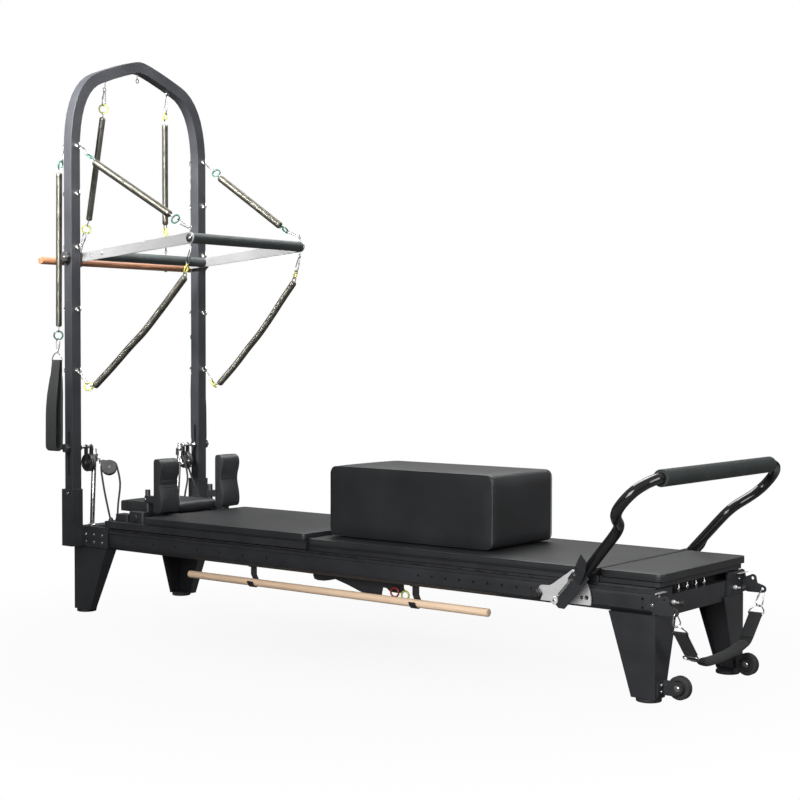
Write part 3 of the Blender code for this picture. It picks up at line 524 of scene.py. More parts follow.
def stuffed(name, node, body, outline, plane, low, high, swell, voxel, fill=0.9):
    """A padded cover, swollen between its two seams, that stays inside its solid's box."""
    bm = slab(inset(outline, swell * 0.8), plane, low + swell * 0.5, high - swell * 0.5)
    bmesh.ops.recalc_face_normals(bm, faces=bm.faces)
    mesh = bpy.data.meshes.new(name)
    bm.to_mesh(mesh)
    bm.free()
    made = bpy.data.objects.new(name, mesh)
    bpy.context.collection.objects.link(made)
    grid = made.modifiers.new("grid", "REMESH")
    grid.mode, grid.voxel_size = "VOXEL", voxel
    made.data = bpy.data.meshes.new_from_object(made.evaluated_get(bpy.context.evaluated_depsgraph_get()))
    made.modifiers.clear()
    lines = [dense(spread(inset(outline, swell * 0.8 + SEAM_INSET), plane, depth))
             for depth in (low + swell * 0.5 + SEAM_INSET, high - swell * 0.5 - SEAM_INSET)]
    near = KDTree(sum(map(len, lines)))
    for number, point in enumerate(lines[0] + lines[1]):
        near.insert(point, number)
    near.balance()
    start = [v.co.copy() for v in made.data.vertices]
    held = made.vertex_groups.new(name="seams")
    held.add([i for i, p in enumerate(start) if near.find(p)[2] < voxel], 1.0, "REPLACE")
    cloth = made.modifiers.new("cover", "CLOTH").settings
    cloth.use_pressure, cloth.uniform_pressure_force = True, 4.0
    cloth.effector_weights.gravity = 0.0
    cloth.vertex_group_mass = "seams"
    for step in range(1, 21):
        bpy.context.scene.frame_set(step)
    blown = made.evaluated_get(bpy.context.evaluated_depsgraph_get()).data
    moves = [v.co - p for v, p in zip(blown.vertices, start)]
    most = max(m.length for m in moves)
    box_low, box_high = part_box(node)
    for v, p, m in zip(made.data.vertices, start, moves):
        if m.length > 1e-6:
            p = p + m.normalized() * swell * math.tanh(1.8 * m.length / most)
        v.co = [min(max(c, a), b) for c, a, b in zip(p, box_low, box_high)]
    made.modifiers.clear()
    bpy.context.scene.frame_set(1)
    soft = made.modifiers.new("soft", "SUBSURF")
    soft.levels = soft.render_levels = 1
    made.data.materials.clear()
    made.data.materials.append(leather)
    made.data.shade_smooth()
    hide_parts(node)
    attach(made, body)
    bm = None
    for line in lines:
        bm = tube(line[::3], WELT, 8, bm, loop=True)
    piece(f"{name}_welts", bm, leather, body, sharp=60.0)


stuffed("sitting_box_cover", "sitting_box", "sitting_box",
        oblong((1.1754, 1.8621), (0.3723, 0.6170), 0.0280), "xz", -0.1733, 0.1733, 0.0045, 0.006, 1.0)
stuffed("carriage_top", "carriage_pad", "carriage", oblong((0.3400, 1.1500), (-0.2736, 0.2736), 0.0160),
        "xy", 0.3590, 0.3870, 0.0030, 0.006)
stuffed("mat_cover", "conversion_mat", "mat", oblong((1.1560, 2.3005), (-0.2736, 0.2736), 0.0220),
        "xy", 0.3480, 0.3720, 0.0025, 0.006)
stuffed("foot_pad_cover", "platform_pad", "frame", oblong((2.3020, 2.5150), (-0.2736, 0.2736), 0.0220),
        "xy", 0.3483, 0.3720, 0.0025, 0.005)
piece("mat_board", slab(oblong((1.1570, 2.2995), (-0.262, 0.262), 0.006, 3), "xy", 0.3303, 0.3482),
      satin_black, "mat", ("conversion_mat",), bevel=0.0015)


# Headrest, shoulder rests and carriage fittings
# The headrest tilts on its rounded edge, on two risers. Each shoulder rest is a waisted pad whose steel post
# drops into the carriage and is held by a pin.

nose = [(0.3020 + 0.0230 * math.cos(a), 0.4045 + 0.0230 * math.sin(a))
        for a in (math.pi * (i / 12 - 0.5) for i in range(13))]
stuffed("headrest_cover", "headrest", "headrest",
        [Vector(c) for c in [(0.0670, 0.3815)] + nose + [(0.0740, 0.4275), (0.0665, 0.4240), (0.0640, 0.4170),
                                                         (0.0640, 0.3845)]],
        "xz", -0.1350, 0.1350, 0.0030, 0.0045)

REST_FRONT = [(0.3360, 0.3940), (0.3600, 0.3940), (0.3735, 0.4000), (0.3790, 0.4150), (0.3795, 0.4350),
              (0.3765, 0.4580), (0.3705, 0.4830), (0.3672, 0.5020), (0.3688, 0.5220), (0.3745, 0.5420),
              (0.3785, 0.5600), (0.3785, 0.5790), (0.3720, 0.5940), (0.3600, 0.6015), (0.3480, 0.6030),
              (0.3370, 0.6012), (0.3310, 0.5940)]
for label, side in SIDES:
    waist = [Vector((p.x, p.y)) for p in through([(x, z, 0.0) for x, z in REST_FRONT], 3)]
    stuffed(f"shoulder_rest_{label}_cover", f"shoulder_rest_{label}", f"shoulder_rest_{label}",
            [Vector((0.3300, 0.4000))] + waist + [Vector((0.3300, 0.5870))], "xz",
            *span(side, 0.1130, 0.2090), 0.0035, 0.0045, 1.0)
    post = at(0.2550, side * 0.1650, 0.0)
    bm = turned([(0.0080, 0.3360), (0.0098, 0.3368), (0.0100, 0.3380), (0.0100, 0.4765), (0.0096, 0.4775),
                 (0.0085, 0.4780), (0.0078, 0.4780), (0.0076, 0.4740)], post, (0, 0, 1), 32)
    bm = slab(oblong((0.2440, 0.3306), span(side, 0.1520, 0.1780), (0.011, 0.003, 0.003, 0.011)),
              "xy", 0.4300, 0.4550, bm)
    piece(f"shoulder_rest_{label}_post", bm, satin_black, f"shoulder_rest_{label}",
          (f"shoulder_rest_{label}",), bevel=0.0008)
    bm = washer_and_bolt(at(0.2550, side * 0.1780, 0.4425), (0, side, 0), 0.0052, 0.0030)
    piece(f"shoulder_rest_{label}_screw", bm, chrome, f"shoulder_rest_{label}")
    bm = turned([(0.0105, 0.3588), (0.0170, 0.3588), (0.0178, 0.3600), (0.0178, 0.3660), (0.0165, 0.3680),
                 (0.0108, 0.3680)], post, (0, 0, 1), 36, closed=True)
    piece(f"post_socket_{label}", bm, satin_black, "carriage")
    bm = turned([(0.0022, 0.0), (0.0022, 0.0110), (0.0040, 0.0115), (0.0048, 0.0140), (0.0040, 0.0175),
                 (0.0015, 0.0185)], at(0.2550, side * 0.1828, 0.3640), (0, side, 0), 20)
    piece(f"post_pin_{label}", bm, chrome, "carriage")
    bm = slab(oblong((0.1500, 0.2150), span(side, 0.1900, 0.2350), 0.005), "xy", 0.3588, 0.3850)
    bm = slab(oblong((0.2200, 0.3000), span(side, 0.1950, 0.2330), 0.012), "xy", 0.3588, 0.3980, bm)
    bm = turned([(0.0120, 0.0), (0.0120, 0.0040), (0.0105, 0.0055), (0.0030, 0.0055)],
                at(0.2600, side * 0.2325, 0.3760), (0, side, 0), 28, bm)
    piece(f"rest_lock_{label}", bm, satin_black, "carriage", bevel=0.0015)
    for name, x, y in (("outer", 0.1330, 0.2440),
                       ("inner", 0.1330, 0.2100) if label == "near" else ("inner", 0.1360, 0.1400)):
        cleat = turned([(0.0036, 0.3588), (0.0095, 0.3588), (0.0100, 0.3600), (0.0080, 0.3650),
                        (0.0055, 0.3700),
                        (0.0036, 0.3705)], at(x + 0.002, side * y, 0.0), (0, 0, 1), 28, closed=True)
        piece(f"rope_cleat_{label}_{name}", cleat, satin_black, "carriage")


# Footbar
# A gloss black tube, bent in a crank on each side, carries a foam grip. Each foot of it is clamped in a
# channel that turns on a bolt through a satin plate and is locked by a squeeze lever.

gloss = Finish("gloss_black_paint", "gloss_black_tube", {"Coat Roughness": 0.13})
streak = gloss.noise(3.0, 2.0)
scuff = gloss.noise(240.0, 4.0)
glossy = gloss.coat(
    gloss.ramp(streak, (0.3, (0.006, 0.006, 0.007)), (0.7, (0.013, 0.013, 0.014))),
    scuff.math("POWER", 4.0) * 0.20 + 0.06, scuff, 0.0001, 0.03)

sponge = Finish("closed_cell_foam", "dark_foam", {"Specular IOR Level": 0.35})
bubbles = sponge.cells(1300.0)
rubbed = sponge.noise(14.0, 4.0)
foam = sponge.coat(
    sponge.ramp(rubbed * 0.7 + bubbles * 0.4, (0.25, (0.016, 0.0195, 0.0195)),
                (0.75, (0.033, 0.039, 0.0385))),
    rubbed * 0.10 + 0.58, bubbles, 0.0003, 0.6)


def aluminium(name, dark, pale):
    """Brushed metal whose hairs run along the frame."""
    brushed = Finish(name, "satin_aluminium", {"Metallic": 0.45})
    hairs = brushed.noise(700.0, 3.0, brushed.spots((0.03, 1.0, 1.0)))
    tone = brushed.noise(6.0, 3.0)
    return brushed.coat(brushed.ramp(hairs * 0.5 + tone * 0.5, (0.25, (dark,) * 3), (0.75, (pale,) * 3)),
                        hairs * 0.16 + tone * 0.06 + 0.24, hairs, 0.0001, 0.25)


satin = aluminium("brushed_aluminium", 0.66, 0.84)
# The arms get a darker copy of the same brushed aluminium: painted shade that holds down the tower panel's
# light on them.
shaded_arm_satin = aluminium("shaded_brushed_arm", 0.17, 0.25)

moulded = Finish("moulded_nylon", "black_nylon")
stipple = moulded.cells(1100.0, feature="SMOOTH_F1")
bloom = moulded.noise(30.0, 3.0)
nylon = moulded.coat(
    moulded.ramp(bloom, (0.3, (0.010, 0.010, 0.011)), (0.7, (0.024, 0.024, 0.025))),
    bloom * 0.12 + 0.38, stipple, 0.0002, 0.35)

BAR_PIVOT, BAR_TILT, BAR_OFFSET = Vector((2.1966, 0.2752)), math.radians(48.5), 0.0140
BAR_ROUTE = [
    (0.100, 0.322), (0.135, 0.325), (0.204, 0.332), (0.270, 0.338), (0.306, 0.346), (0.334, 0.368),
    (0.360, 0.410), (0.384, 0.441), (0.411, 0.457), (0.445, 0.459), (0.477, 0.446), (0.501, 0.415),
    (0.513, 0.382), (0.517, 0.362), (0.517, 0.344), (0.517, 0.200)]


def on_slant(s, n=BAR_OFFSET):
    """A place in the footbar's side view, along its slope and below it."""
    along = Vector((math.cos(BAR_TILT), math.sin(BAR_TILT)))
    return BAR_PIVOT + along * s + Vector((along.y, -along.x)) * n


def on_bar(s, y, n=BAR_OFFSET):
    x, z = on_slant(s, n)
    return at(x, y, z)


def lobed(place, axis, radius, depth, lobes):
    """A hand knob with rounded lobes, standing out along its axis."""
    place, way = Vector(place), Vector(axis).normalized()
    turn = way.to_track_quat("Z", "Y")
    rings = []
    for share, height in ((0.30, 0.0), (0.62, 0.0), (0.66, 0.22), (0.93, 0.26), (1.0, 0.36), (1.0, 0.82),
                          (0.93, 0.95), (0.70, 1.0), (0.25, 1.0)):
        wave = max(0.0, share - 0.66) / 0.34 * 0.11
        ring = []
        for a in (2 * math.pi * k / 72 for k in range(72)):
            r = radius * share * (1 - wave + wave * math.cos(lobes * a))
            ring.append(place + way * depth * height + turn @ Vector((r * math.cos(a), r * math.sin(a), 0.0)))
        rings.append(ring)
    return skin(rings)


def drill(bm, *cutters):
    """Cuts shapes out of a mesh."""
    bodies = []
    for number, shape in enumerate((bm, *cutters)):
        bmesh.ops.recalc_face_normals(shape, faces=shape.faces)
        mesh = bpy.data.meshes.new(f"drill_{number}")
        shape.to_mesh(mesh)
        shape.free()
        bodies.append(bpy.data.objects.new(f"drill_{number}", mesh))
        bpy.context.collection.objects.link(bodies[-1])
    for tool in bodies[1:]:
        step = bodies[0].modifiers.new("cut", "BOOLEAN")
        step.operation, step.solver, step.object = "DIFFERENCE", "EXACT", tool
    shape = bodies[0].evaluated_get(bpy.context.evaluated_depsgraph_get()).to_mesh()
    cut = bmesh.new()
    cut.from_mesh(shape)
    for body in bodies:
        bpy.data.objects.remove(body, do_unlink=True)
    return cut


arm = through([(s, y, 0.0) for s, y in BAR_ROUTE], 6)
loop_path = [on_bar(p.x, -p.y) for p in arm] + [on_bar(p.x, p.y) for p in reversed(arm)]
piece("footbar_tube", tube(loop_path, 0.0160, 32), glossy, "footbar", ("footbar_frame",))
grip_middle = on_bar(BAR_ROUTE[-1][0], 0.0)
sleeve = both_faces([(0.0166, -0.3480), (0.0243, -0.3480), (0.0250, -0.3473)])
piece("footbar_foam", turned(sleeve, grip_middle, (0, 1, 0), 48, closed=True), foam, "footbar",
      ("footbar_grip",))
pivot = at(2.1966, 0, 0.2752)
for label, side in SIDES:
    outline = [on_slant(s, n) for s, n in (
        (0.1300, 0.0390), (0.1300, 0.0005), (0.1130, 0.0005), (0.1060, -0.0150), (0.0780, -0.0125),
        (0.0840, 0.0005), (0.0130, 0.0005))]
    outline += [on_slant(0.0020 + 0.0100 * math.cos(a), 0.0010 + 0.0100 * math.sin(a))
                for a in (math.radians(-25 - 155 * k / 8) for k in range(9))]
    outline += [on_slant(-0.0080, 0.0240), on_slant(0.0040, 0.0390)]
    block = outline[:-2] + [on_slant(-0.0080, 0.0140), on_slant(0.0000, 0.0215)]
    block[0] = on_slant(0.1300, 0.0215)
    for part, shape, inner, outer in (("cheek", outline, 0.3325, 0.3385), ("channel", block, 0.2868, 0.3324)):
        piece(f"footbar_{part}_{label}", slab(shape, "xz", *span(side, inner, outer)), satin_black, "footbar",
              ("footbar_frame",), bevel=0.0015)
    bm = turned([(0.0030, 0.3386), (0.0122, 0.3386), (0.0124, 0.3392), (0.0124, 0.3416), (0.0116, 0.3428),
                 (0.0062, 0.3434), (0.0056, 0.3420), (0.0030, 0.3420)], pivot, (0, side, 0), 36, closed=True)
    piece(f"footbar_washer_{label}", bm, satin, "footbar", sharp=40.0)
    bm = turned([(0.0044, 0.3420), (0.0044, 0.3446), (0.0030, 0.3452)], pivot, (0, side, 0), 6)
    bm = turned([(0.0060, 0.2765), (0.0060, 0.2880)], pivot, (0, side, 0), 24, bm)
    bm = tube([on_bar(0.0235, side * 0.3416, -0.0015), on_bar(0.0780, side * 0.3416, -0.0015)], 0.0027, 16,
              bm)
    bm = turned([(0.0048, -0.0034), (0.0048, 0.0034)], on_bar(0.0820, side * 0.3434, -0.0012),
                on_bar(1.0, 0.0) - on_bar(0.0, 0.0), 6, bm)
    piece(f"footbar_bolts_{label}", bm, chrome, "footbar", sharp=40.0)
    bm = washer_and_bolt(on_bar(0.1120, side * 0.3500, 0.0010), (0, side, 0), 0.0040, 0.0026)
    piece(f"lock_lever_{label}_bolt", bm, chrome, f"lock_lever_{label}", sharp=40.0)
    piece(f"sector_{label}_plate", copy_of(f"sector_plate_{label}"), satin, "frame",
          (f"sector_plate_{label}",), 30.0, 0.0007)
    bm = lobed(at(2.1065, side * 0.2853, 0.2850), (0, side, 0), 0.0150, 0.0240, 5)
    piece(f"sector_{label}_knob", bm, nylon, "frame", sharp=50.0)
    bm = turned([(0.0023, 0.2854), (0.0060, 0.2854), (0.0060, 0.2860), (0.0052, 0.2863), (0.0023, 0.2863)],
                at(2.2573, 0, 0.2823), (0, side, 0), 24, closed=True)
    piece(f"sector_{label}_rivet", bm, chrome, "frame")
    bm = turned([(0.0046, 0.2854), (0.0067, 0.2854), (0.0067, 0.2860), (0.0046, 0.2860)],
                at(2.2730, 0, 0.2839), (0, side, 0), 24, closed=True)
    piece(f"sector_{label}_grommet", bm, nylon, "frame")


# Push-through bar
# Two tapered arms of brushed aluminium, painted darker as shade, hang from pins through the uprights. Two
# cross tubes join them, and both have foam sleeves.

PUSH_PIVOT, PUSH_FRONT, PUSH_REAR = Vector((0.0203, 1.3600)), Vector((0.6211, 1.4094)), Vector((0.0905,
                                                                                                1.3670))


def round_end(centre, radius, start, stop, count=14):
    return [Vector(centre) + radius * Vector((math.cos(math.radians(start + (stop - start) * k / count)),
                                              math.sin(math.radians(start + (stop - start) * k / count))))
            for k in range(count + 1)]


lean = math.degrees((PUSH_FRONT - PUSH_PIVOT).angle_signed(Vector((1.0, 0.0))))
for label, side in SIDES:
    blade = round_end(PUSH_PIVOT, 0.0170, lean + 90, lean + 270) + round_end(PUSH_FRONT, 0.0205, lean - 90,
                                                                             lean + 90)
    piece(f"push_bar_arm_{label}", slab(blade, "xz", *span(side, 0.2900, 0.2960)), shaded_arm_satin, "push_bar",
          ("push_bar_frame",), bevel=0.0010)
    bm = turned([(0.0040, 0.0), (0.0150, 0.0), (0.0165, 0.0006), (0.0165, 0.0016), (0.0150, 0.0022),
                 (0.0060, 0.0022), (0.0060, 0.0052), (0.0050, 0.0062), (0.0020, 0.0062)],
                at(PUSH_FRONT.x, side * 0.2960, PUSH_FRONT.y), (0, side, 0), 36)
    for x, z in (PUSH_REAR, (0.1500, 1.3722)):
        bm = washer_and_bolt(at(x, side * 0.2960, z), (0, side, 0), 0.0058, 0.0030, bm)
    bm = turned([(0.0060, 0.2955), (0.0060, 0.3525)], at(PUSH_PIVOT.x, 0, PUSH_PIVOT.y), (0, side, 0), 24, bm)
    bm = washer_and_bolt(at(PUSH_PIVOT.x, side * 0.3715, PUSH_PIVOT.y), (0, side, 0), 0.0060, 0.0024, bm)
    piece(f"push_bar_bolts_{label}", bm, chrome, "push_bar", sharp=40.0)
    piece(f"push_bar_knob_{label}", lobed(at(PUSH_PIVOT.x, side * 0.3522, PUSH_PIVOT.y), (0, side, 0), 0.0220,
                                          0.0192, 7),
          nylon, "push_bar", sharp=50.0)
for label, (x, z), reach in (("front", PUSH_FRONT, 0.2893), ("rear", PUSH_REAR, 0.2860)):
    sleeve = both_faces([(0.0128, -reach), (0.0184, -reach), (0.0190, 0.0006 - reach)])
    piece(f"push_bar_{label}_foam", turned(sleeve, at(x, 0, z), (0, 1, 0), 40, closed=True), foam, "push_bar",
          (f"push_bar_{label}_grip",))
    piece(f"push_bar_{label}_tube", turned([(0.0125, -0.2905), (0.0125, 0.2905)], at(x, 0, z), (0, 1, 0), 32),
          satin, "push_bar", ("push_bar_frame",))


# Wooden poles
# A pale pole lies in two hooks under the near rail. A brown roll-down bar hangs from the arch behind the
# push-through bar, with an eye under each spring.

def wood(name, slot, pale, dark, along):
    """Fine grain that runs along one axis of the frame."""
    made = Finish(name, slot)
    stretch = [26.0, 26.0, 26.0]
    stretch[along] = 1.0
    grain_place = made.spots(stretch)
    wander = made.noise(3.0, 3.0, made.spots([3.0 if k != along else 0.6 for k in range(3)]))
    grain_line = made.noise(9.0, 6.0, grain_place, 0.65)
    fleck = made.noise(46.0, 2.0, grain_place)
    return made.coat(made.ramp(grain_line * 0.65 + wander * 0.35, (0.36, dark), (0.66, pale)),
                     grain_line * 0.14 + 0.36, fleck + grain_line, 0.0002, 0.3)


beech = wood("oiled_beech", "pale_beech", (0.84, 0.64, 0.46), (0.68, 0.47, 0.31), 0)
walnut = wood("stained_wood", "brown_wood", (0.32, 0.150, 0.080), (0.18, 0.075, 0.036), 1)
for name, node, finish, centre, axis, radius, low, high in (
        ("spare_pole", "wooden_dowel", beech, at(0, -0.2500, 0.1945), (1, 0, 0), 0.0130, 0.5720, 1.8988),
        ("rolldown_pole", "rolldown_bar", walnut, at(-0.0600, 0, 1.3470), (0, 1, 0), 0.0140,
         -0.4170, 0.4170)):
    outline = [(radius - 0.0020, low), (radius - 0.0006, low + 0.0006), (radius, low + 0.0022),
               (radius, high - 0.0022), (radius - 0.0006, high - 0.0006), (radius - 0.0020, high)]
    piece(name, turned(outline, centre, axis, 40), finish, node, (node,))


# Tower fittings
# Threaded eyes stand along both uprights and hang under the arch. On each side a sliding clamp carries a
# wheel, with a knob outside, and a chromed post carries the tilted sheave of the rope.

def closed_link(middle, along, facing, length, width, wire, bm=None):
    """A ring or a long link. It lies flat on to the facing direction."""
    along = Vector(along).normalized()
    across = along.cross(Vector(facing)).normalized()
    bow, straight = width / 2, max(0.0, length - width) / 2
    path = []
    for sign in (1, -1):
        for k in range(11 if straight else 10):
            a = math.pi * k / 10
            path.append(Vector(middle) + along * sign * (straight + bow * math.sin(a))
                        + across * sign * bow * math.cos(a))
    return tube(path, wire, 10, bm, loop=True)


def eye_bolt(base, axis, reach, facing, bm=None):
    """A threaded eye with a nut, standing out of a surface."""
    base, axis, bow = Vector(base), Vector(axis).normalized(), 0.0100
    bm = turned([(0.0070, -0.0002), (0.0070, 0.0036), (0.0060, 0.0044), (0.0028, 0.0044)], base, axis, 6, bm)
    bm = tube([base, base + axis * (reach - bow)], 0.0026, 10, bm)
    return closed_link(base + axis * reach, axis, facing, 2 * bow, 2 * bow, 0.0027, bm)


TOWER_EYES = (1.7809, 1.6018, 1.3986, 1.1631, 0.9300)
ARCH_EYES = ((-0.1600, 2.0155, 0.0110), (0.0, 2.0700, 0.0203), (0.1600, 2.0385, 0.0190))
for label, side in SIDES:
    bm = None
    for z in TOWER_EYES:
        bm = eye_bolt(at(0.0419, side * 0.3303, z), (1, 0, 0), 0.0165, (0.25, 1, 0), bm)
        bm = eye_bolt(at(-0.0013, side * 0.3303, z), (-1, 0, 0), 0.0165, (0.25, 1, 0), bm)
    piece(f"tower_eyes_{label}", bm, chrome, "frame", sharp=40.0)
    # Black rubber discs on the outer face of each upright are painted shade, standing for the dark inside of
    # its three holes.
    bm = None
    for z in (1.2840, 1.2000, 1.1150):
        bm = turned([(0.0064, 0.0001), (0.0064, 0.0005), (0.0052, 0.0006), (0.0046, 0.0002)],
                    at(0.0203, side * 0.3519, z), (0, side, 0), 20, bm)
    piece(f"tower_hole_rims_{label}", bm, rubber, "frame")
bm = None
for y, z, x in ARCH_EYES:
    top = 2.1190 - abs(y) * 0.36
    bm = closed_link(at(x, y, z), (0, 0, 1), (1, 0.2, 0), 0.016, 0.016, 0.0017, bm)
    bm = tube([at(x, y, z + 0.0085), at(0.0203, y, top - 0.004)], 0.0020, 10, bm)
    bm = washer_and_bolt(at(0.0203, y, top + 0.0205), (0, -0.30 if y < 0 else 0.30 if y else 0, 1), 0.0062,
                         0.0026, bm)
piece("arch_eyes", bm, chrome, "frame", sharp=40.0)

for (label, side), z in zip(SIDES, (0.6360, 0.6200)):
    axle = at(0.0203, side * 0.2545, z - 0.0600)
    half = [(0.0044, -0.0092), (0.0105, -0.0092), (0.0120, -0.0080), (0.0125, -0.0035), (0.0150, -0.0030),
            (0.0300, -0.0055), (0.0330, -0.0095), (0.0345, -0.0080), (0.0345, -0.0066), (0.0305, -0.0010)]
    wheel = turned(both_faces(half), axle, (0, side, 0), 48, closed=True)
    holes = None
    for k in range(8):
        a = math.pi * (k + 0.5) / 4
        holes = turned([(0.0042, -0.02), (0.0042, 0.02)],
                       axle + Vector((0.0215 * math.cos(a), 0, 0.0215 * math.sin(a))), (0, 1, 0), 16, holes)
    piece(f"tower_wheel_{label}", drill(wheel, holes), nylon, f"tower_pulley_{label}",
          (f"tower_pulley_{label}",))
    cheek = round_end((0.0203, z - 0.0600), 0.0115, 180, 360, 10) + round_end((0.0203, z), 0.0100, 0, 180, 10)
    bm = slab(cheek, "xz", *span(side, 0.2405, 0.2432))
    bm = slab(cheek, "xz", *span(side, 0.2660, 0.2687), bm)
    piece(f"clamp_cheeks_{label}", bm, satin_black, f"pulley_slider_{label}", (f"pulley_slider_{label}",),
          bevel=0.0006)
    bm = turned([(0.0058, 0.2400), (0.0060, 0.2404), (0.0060, 0.3078), (0.0040, 0.3082), (0.0040, 0.3590)],
                at(0.0203, 0, z), (0, side, 0), 32)
    bm = turned([(0.0040, 0.2410), (0.0040, 0.2680)], at(0.0203, 0, z - 0.0600), (0, side, 0), 24, bm)
    bm = washer_and_bolt(at(0.0203, side * 0.2687, z - 0.0600), (0, side, 0), 0.0068, 0.0030, bm)
    bm = washer_and_bolt(at(0.0203, side * 0.2405, z - 0.0600), (0, -side, 0), 0.0068, 0.0030, bm)
    bm = washer_and_bolt(at(0.0203, side * 0.2403, z), (0, -side, 0), 0.0090, 0.0040, bm)
    bm = turned([(0.0062, 0.2960), (0.0125, 0.2960), (0.0130, 0.2966), (0.0130, 0.2990), (0.0062, 0.2990)],
                at(0.0203, 0, z), (0, side, 0), 32, bm, closed=True)
    piece(f"clamp_bolt_{label}", bm, chrome, f"pulley_slider_{label}", (f"pulley_slider_{label}",),
          sharp=40.0)
    piece(f"clamp_knob_{label}_lobed", lobed(at(0.0203, side * 0.3523, z), (0, side, 0), 0.0180, 0.0215, 6),
          nylon, f"clamp_knob_{label}", (f"clamp_knob_{label}",), sharp=50.0)

    foot, tip = (at(x, side * y, z) for x, y, z in (POST_FOOT, POST_TIP))
    reach = (tip - foot).length
    bm = turned([(0.0160, 0.0003), (0.0160, 0.0032), (0.0150, 0.0042), (0.0110, 0.0046), (0.0100, 0.0060),
                 (0.0090, 0.0075)], foot, (0, 0, 1), 40)
    bm = turned([(0.0090, 0.0020), (0.0090, reach - 0.0015), (0.0082, reach - 0.0003), (0.0070, reach),
                 (0.0066, reach - 0.0030)], foot, tip - foot, 40, bm)
    piece(f"rope_post_{label}_tube", bm, chrome, "frame", (f"rope_post_{label}",))
    dress(f"swivel_yoke_{label}", chrome, f"swivel_{label}", 0.0005)
    centre, spin = sheave_of(side)
    hub = foot + (tip - foot).normalized() * 0.2640
    out = ((hub - centre) - spin * (hub - centre).dot(spin)).normalized()
    up_way = spin.cross(out)
    half = [(0.0046, -0.0085), (0.0100, -0.0085), (0.0110, -0.0060), (0.0250, -0.0060), (0.0262, -0.0085),
            (0.0276, -0.0080), (0.0285, -0.0062), (0.0250, -0.0022)]
    bm = turned(both_faces(half, [(0.0244, 0.0)]), centre, spin, 48, closed=True)
    piece(f"rope_sheave_{label}_wheel", bm, nylon, f"rope_sheave_{label}", (f"rope_sheave_{label}",))
    drop = [Vector((0.0270 * math.cos(a), 0.0270 * math.sin(a)))
            for a in (math.radians(62 + 236 * k / 24) for k in range(25))]
    drop += [Vector((0.0400, -0.0065)), Vector((0.0425, 0.0)), Vector((0.0400, 0.0065))]
    bm = skin([[centre + out * a + up_way * b + spin * d for a, b in drop] for d in (0.0094, 0.0112)])
    piece(f"sheave_cover_{label}", bm, nylon, f"swivel_{label}", bevel=0.0006)
    bm = washer_and_bolt(centre + spin * 0.0112, spin, 0.0056, 0.0030)
    piece(f"sheave_pin_{label}", bm, chrome, f"swivel_{label}", sharp=40.0)


# Screws
# Bright socket screws hold the tower plates, the rails and the wheel brackets. They are one screw, repeated
# at each of its places.

def unit_screw(radius):
    made = bpy.data.objects.new("one_screw", bpy.data.meshes.new("one_screw"))
    bm = washer_and_bolt((0, 0, 0), (0, 0, 1), radius, radius * 0.5)
    bm.to_mesh(made.data)
    bm.free()
    made.data.shade_smooth()
    made.data.set_sharp_from_angle(angle=math.radians(40.0))
    bpy.context.collection.objects.link(made)
    return made


def socket_named(tree, name):
    return next(item.identifier for item in tree.interface.items_tree
                if item.item_type == "SOCKET" and item.in_out == "INPUT" and item.name == name)


def node_tree(name, *inputs):
    """An empty geometry tree with named inputs."""
    tree = bpy.data.node_groups.new(name, "GeometryNodeTree")
    tree.interface.new_socket("Geometry", in_out="INPUT", socket_type="NodeSocketGeometry")
    for label, kind in inputs:
        tree.interface.new_socket(label, in_out="INPUT", socket_type=kind)
    tree.interface.new_socket("Geometry", in_out="OUTPUT", socket_type="NodeSocketGeometry")
    tree.nodes.new("NodeGroupInput")
    return tree, tree.nodes["Group Input"].outputs, tree.nodes.new("NodeGroupOutput").inputs[0]


def grown(name, start, tree, values, body=None, instead=()):
    """Runs a geometry tree on a start mesh and keeps its result as a piece."""
    made = bpy.data.objects.new(name, start)
    bpy.context.collection.objects.link(made)
    run = made.modifiers.new("tree", "NODES")
    run.node_group = tree
    for label, value in values.items():
        run[socket_named(tree, label)] = value
    bpy.context.view_layer.update()
    made.data = bpy.data.meshes.new_from_object(made.evaluated_get(bpy.context.evaluated_depsgraph_get()))
    made.modifiers.clear()
    if instead:
        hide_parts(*instead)
    if body:
        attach(made, body)
    return made


repeat, given, result = node_tree("repeated_part", ("Part", "NodeSocketObject"),
                                  ("Finish", "NodeSocketMaterial"))
part_info = repeat.nodes.new("GeometryNodeObjectInfo")
aim = repeat.nodes.new("GeometryNodeInputNamedAttribute")
aim.data_type = "FLOAT_VECTOR"
aim.inputs["Name"].default_value = "aim"
turn_to = repeat.nodes.new("FunctionNodeAlignRotationToVector")
turn_to.axis = "Z"
copies = repeat.nodes.new("GeometryNodeInstanceOnPoints")
real = repeat.nodes.new("GeometryNodeRealizeInstances")
paint = repeat.nodes.new("GeometryNodeSetMaterial")
for start, stop in (
        (given["Geometry"], copies.inputs["Points"]), (given["Part"], part_info.inputs["Object"]),
        (part_info.outputs["Geometry"], copies.inputs["Instance"]),
        (aim.outputs["Attribute"], turn_to.inputs["Vector"]),
        (turn_to.outputs["Rotation"], copies.inputs["Rotation"]),
        (copies.outputs["Instances"], real.inputs["Geometry"]),
        (real.outputs["Geometry"], paint.inputs["Geometry"]),
        (given["Finish"], paint.inputs["Material"]), (paint.outputs["Geometry"], result)):
    repeat.links.new(start, stop)


def repeated(name, part, places, finish, body):
    """Copies of a part, standing at (place, direction) pairs."""
    spots = bpy.data.meshes.new(name)
    spots.from_pydata([place for place, _ in places], [], [])
    aims = spots.attributes.new("aim", "FLOAT_VECTOR", "POINT")
    for number, (_, way) in enumerate(places):
        aims.data[number].vector = way
    return grown(name, spots, repeat, {"Part": part, "Finish": finish}, body)


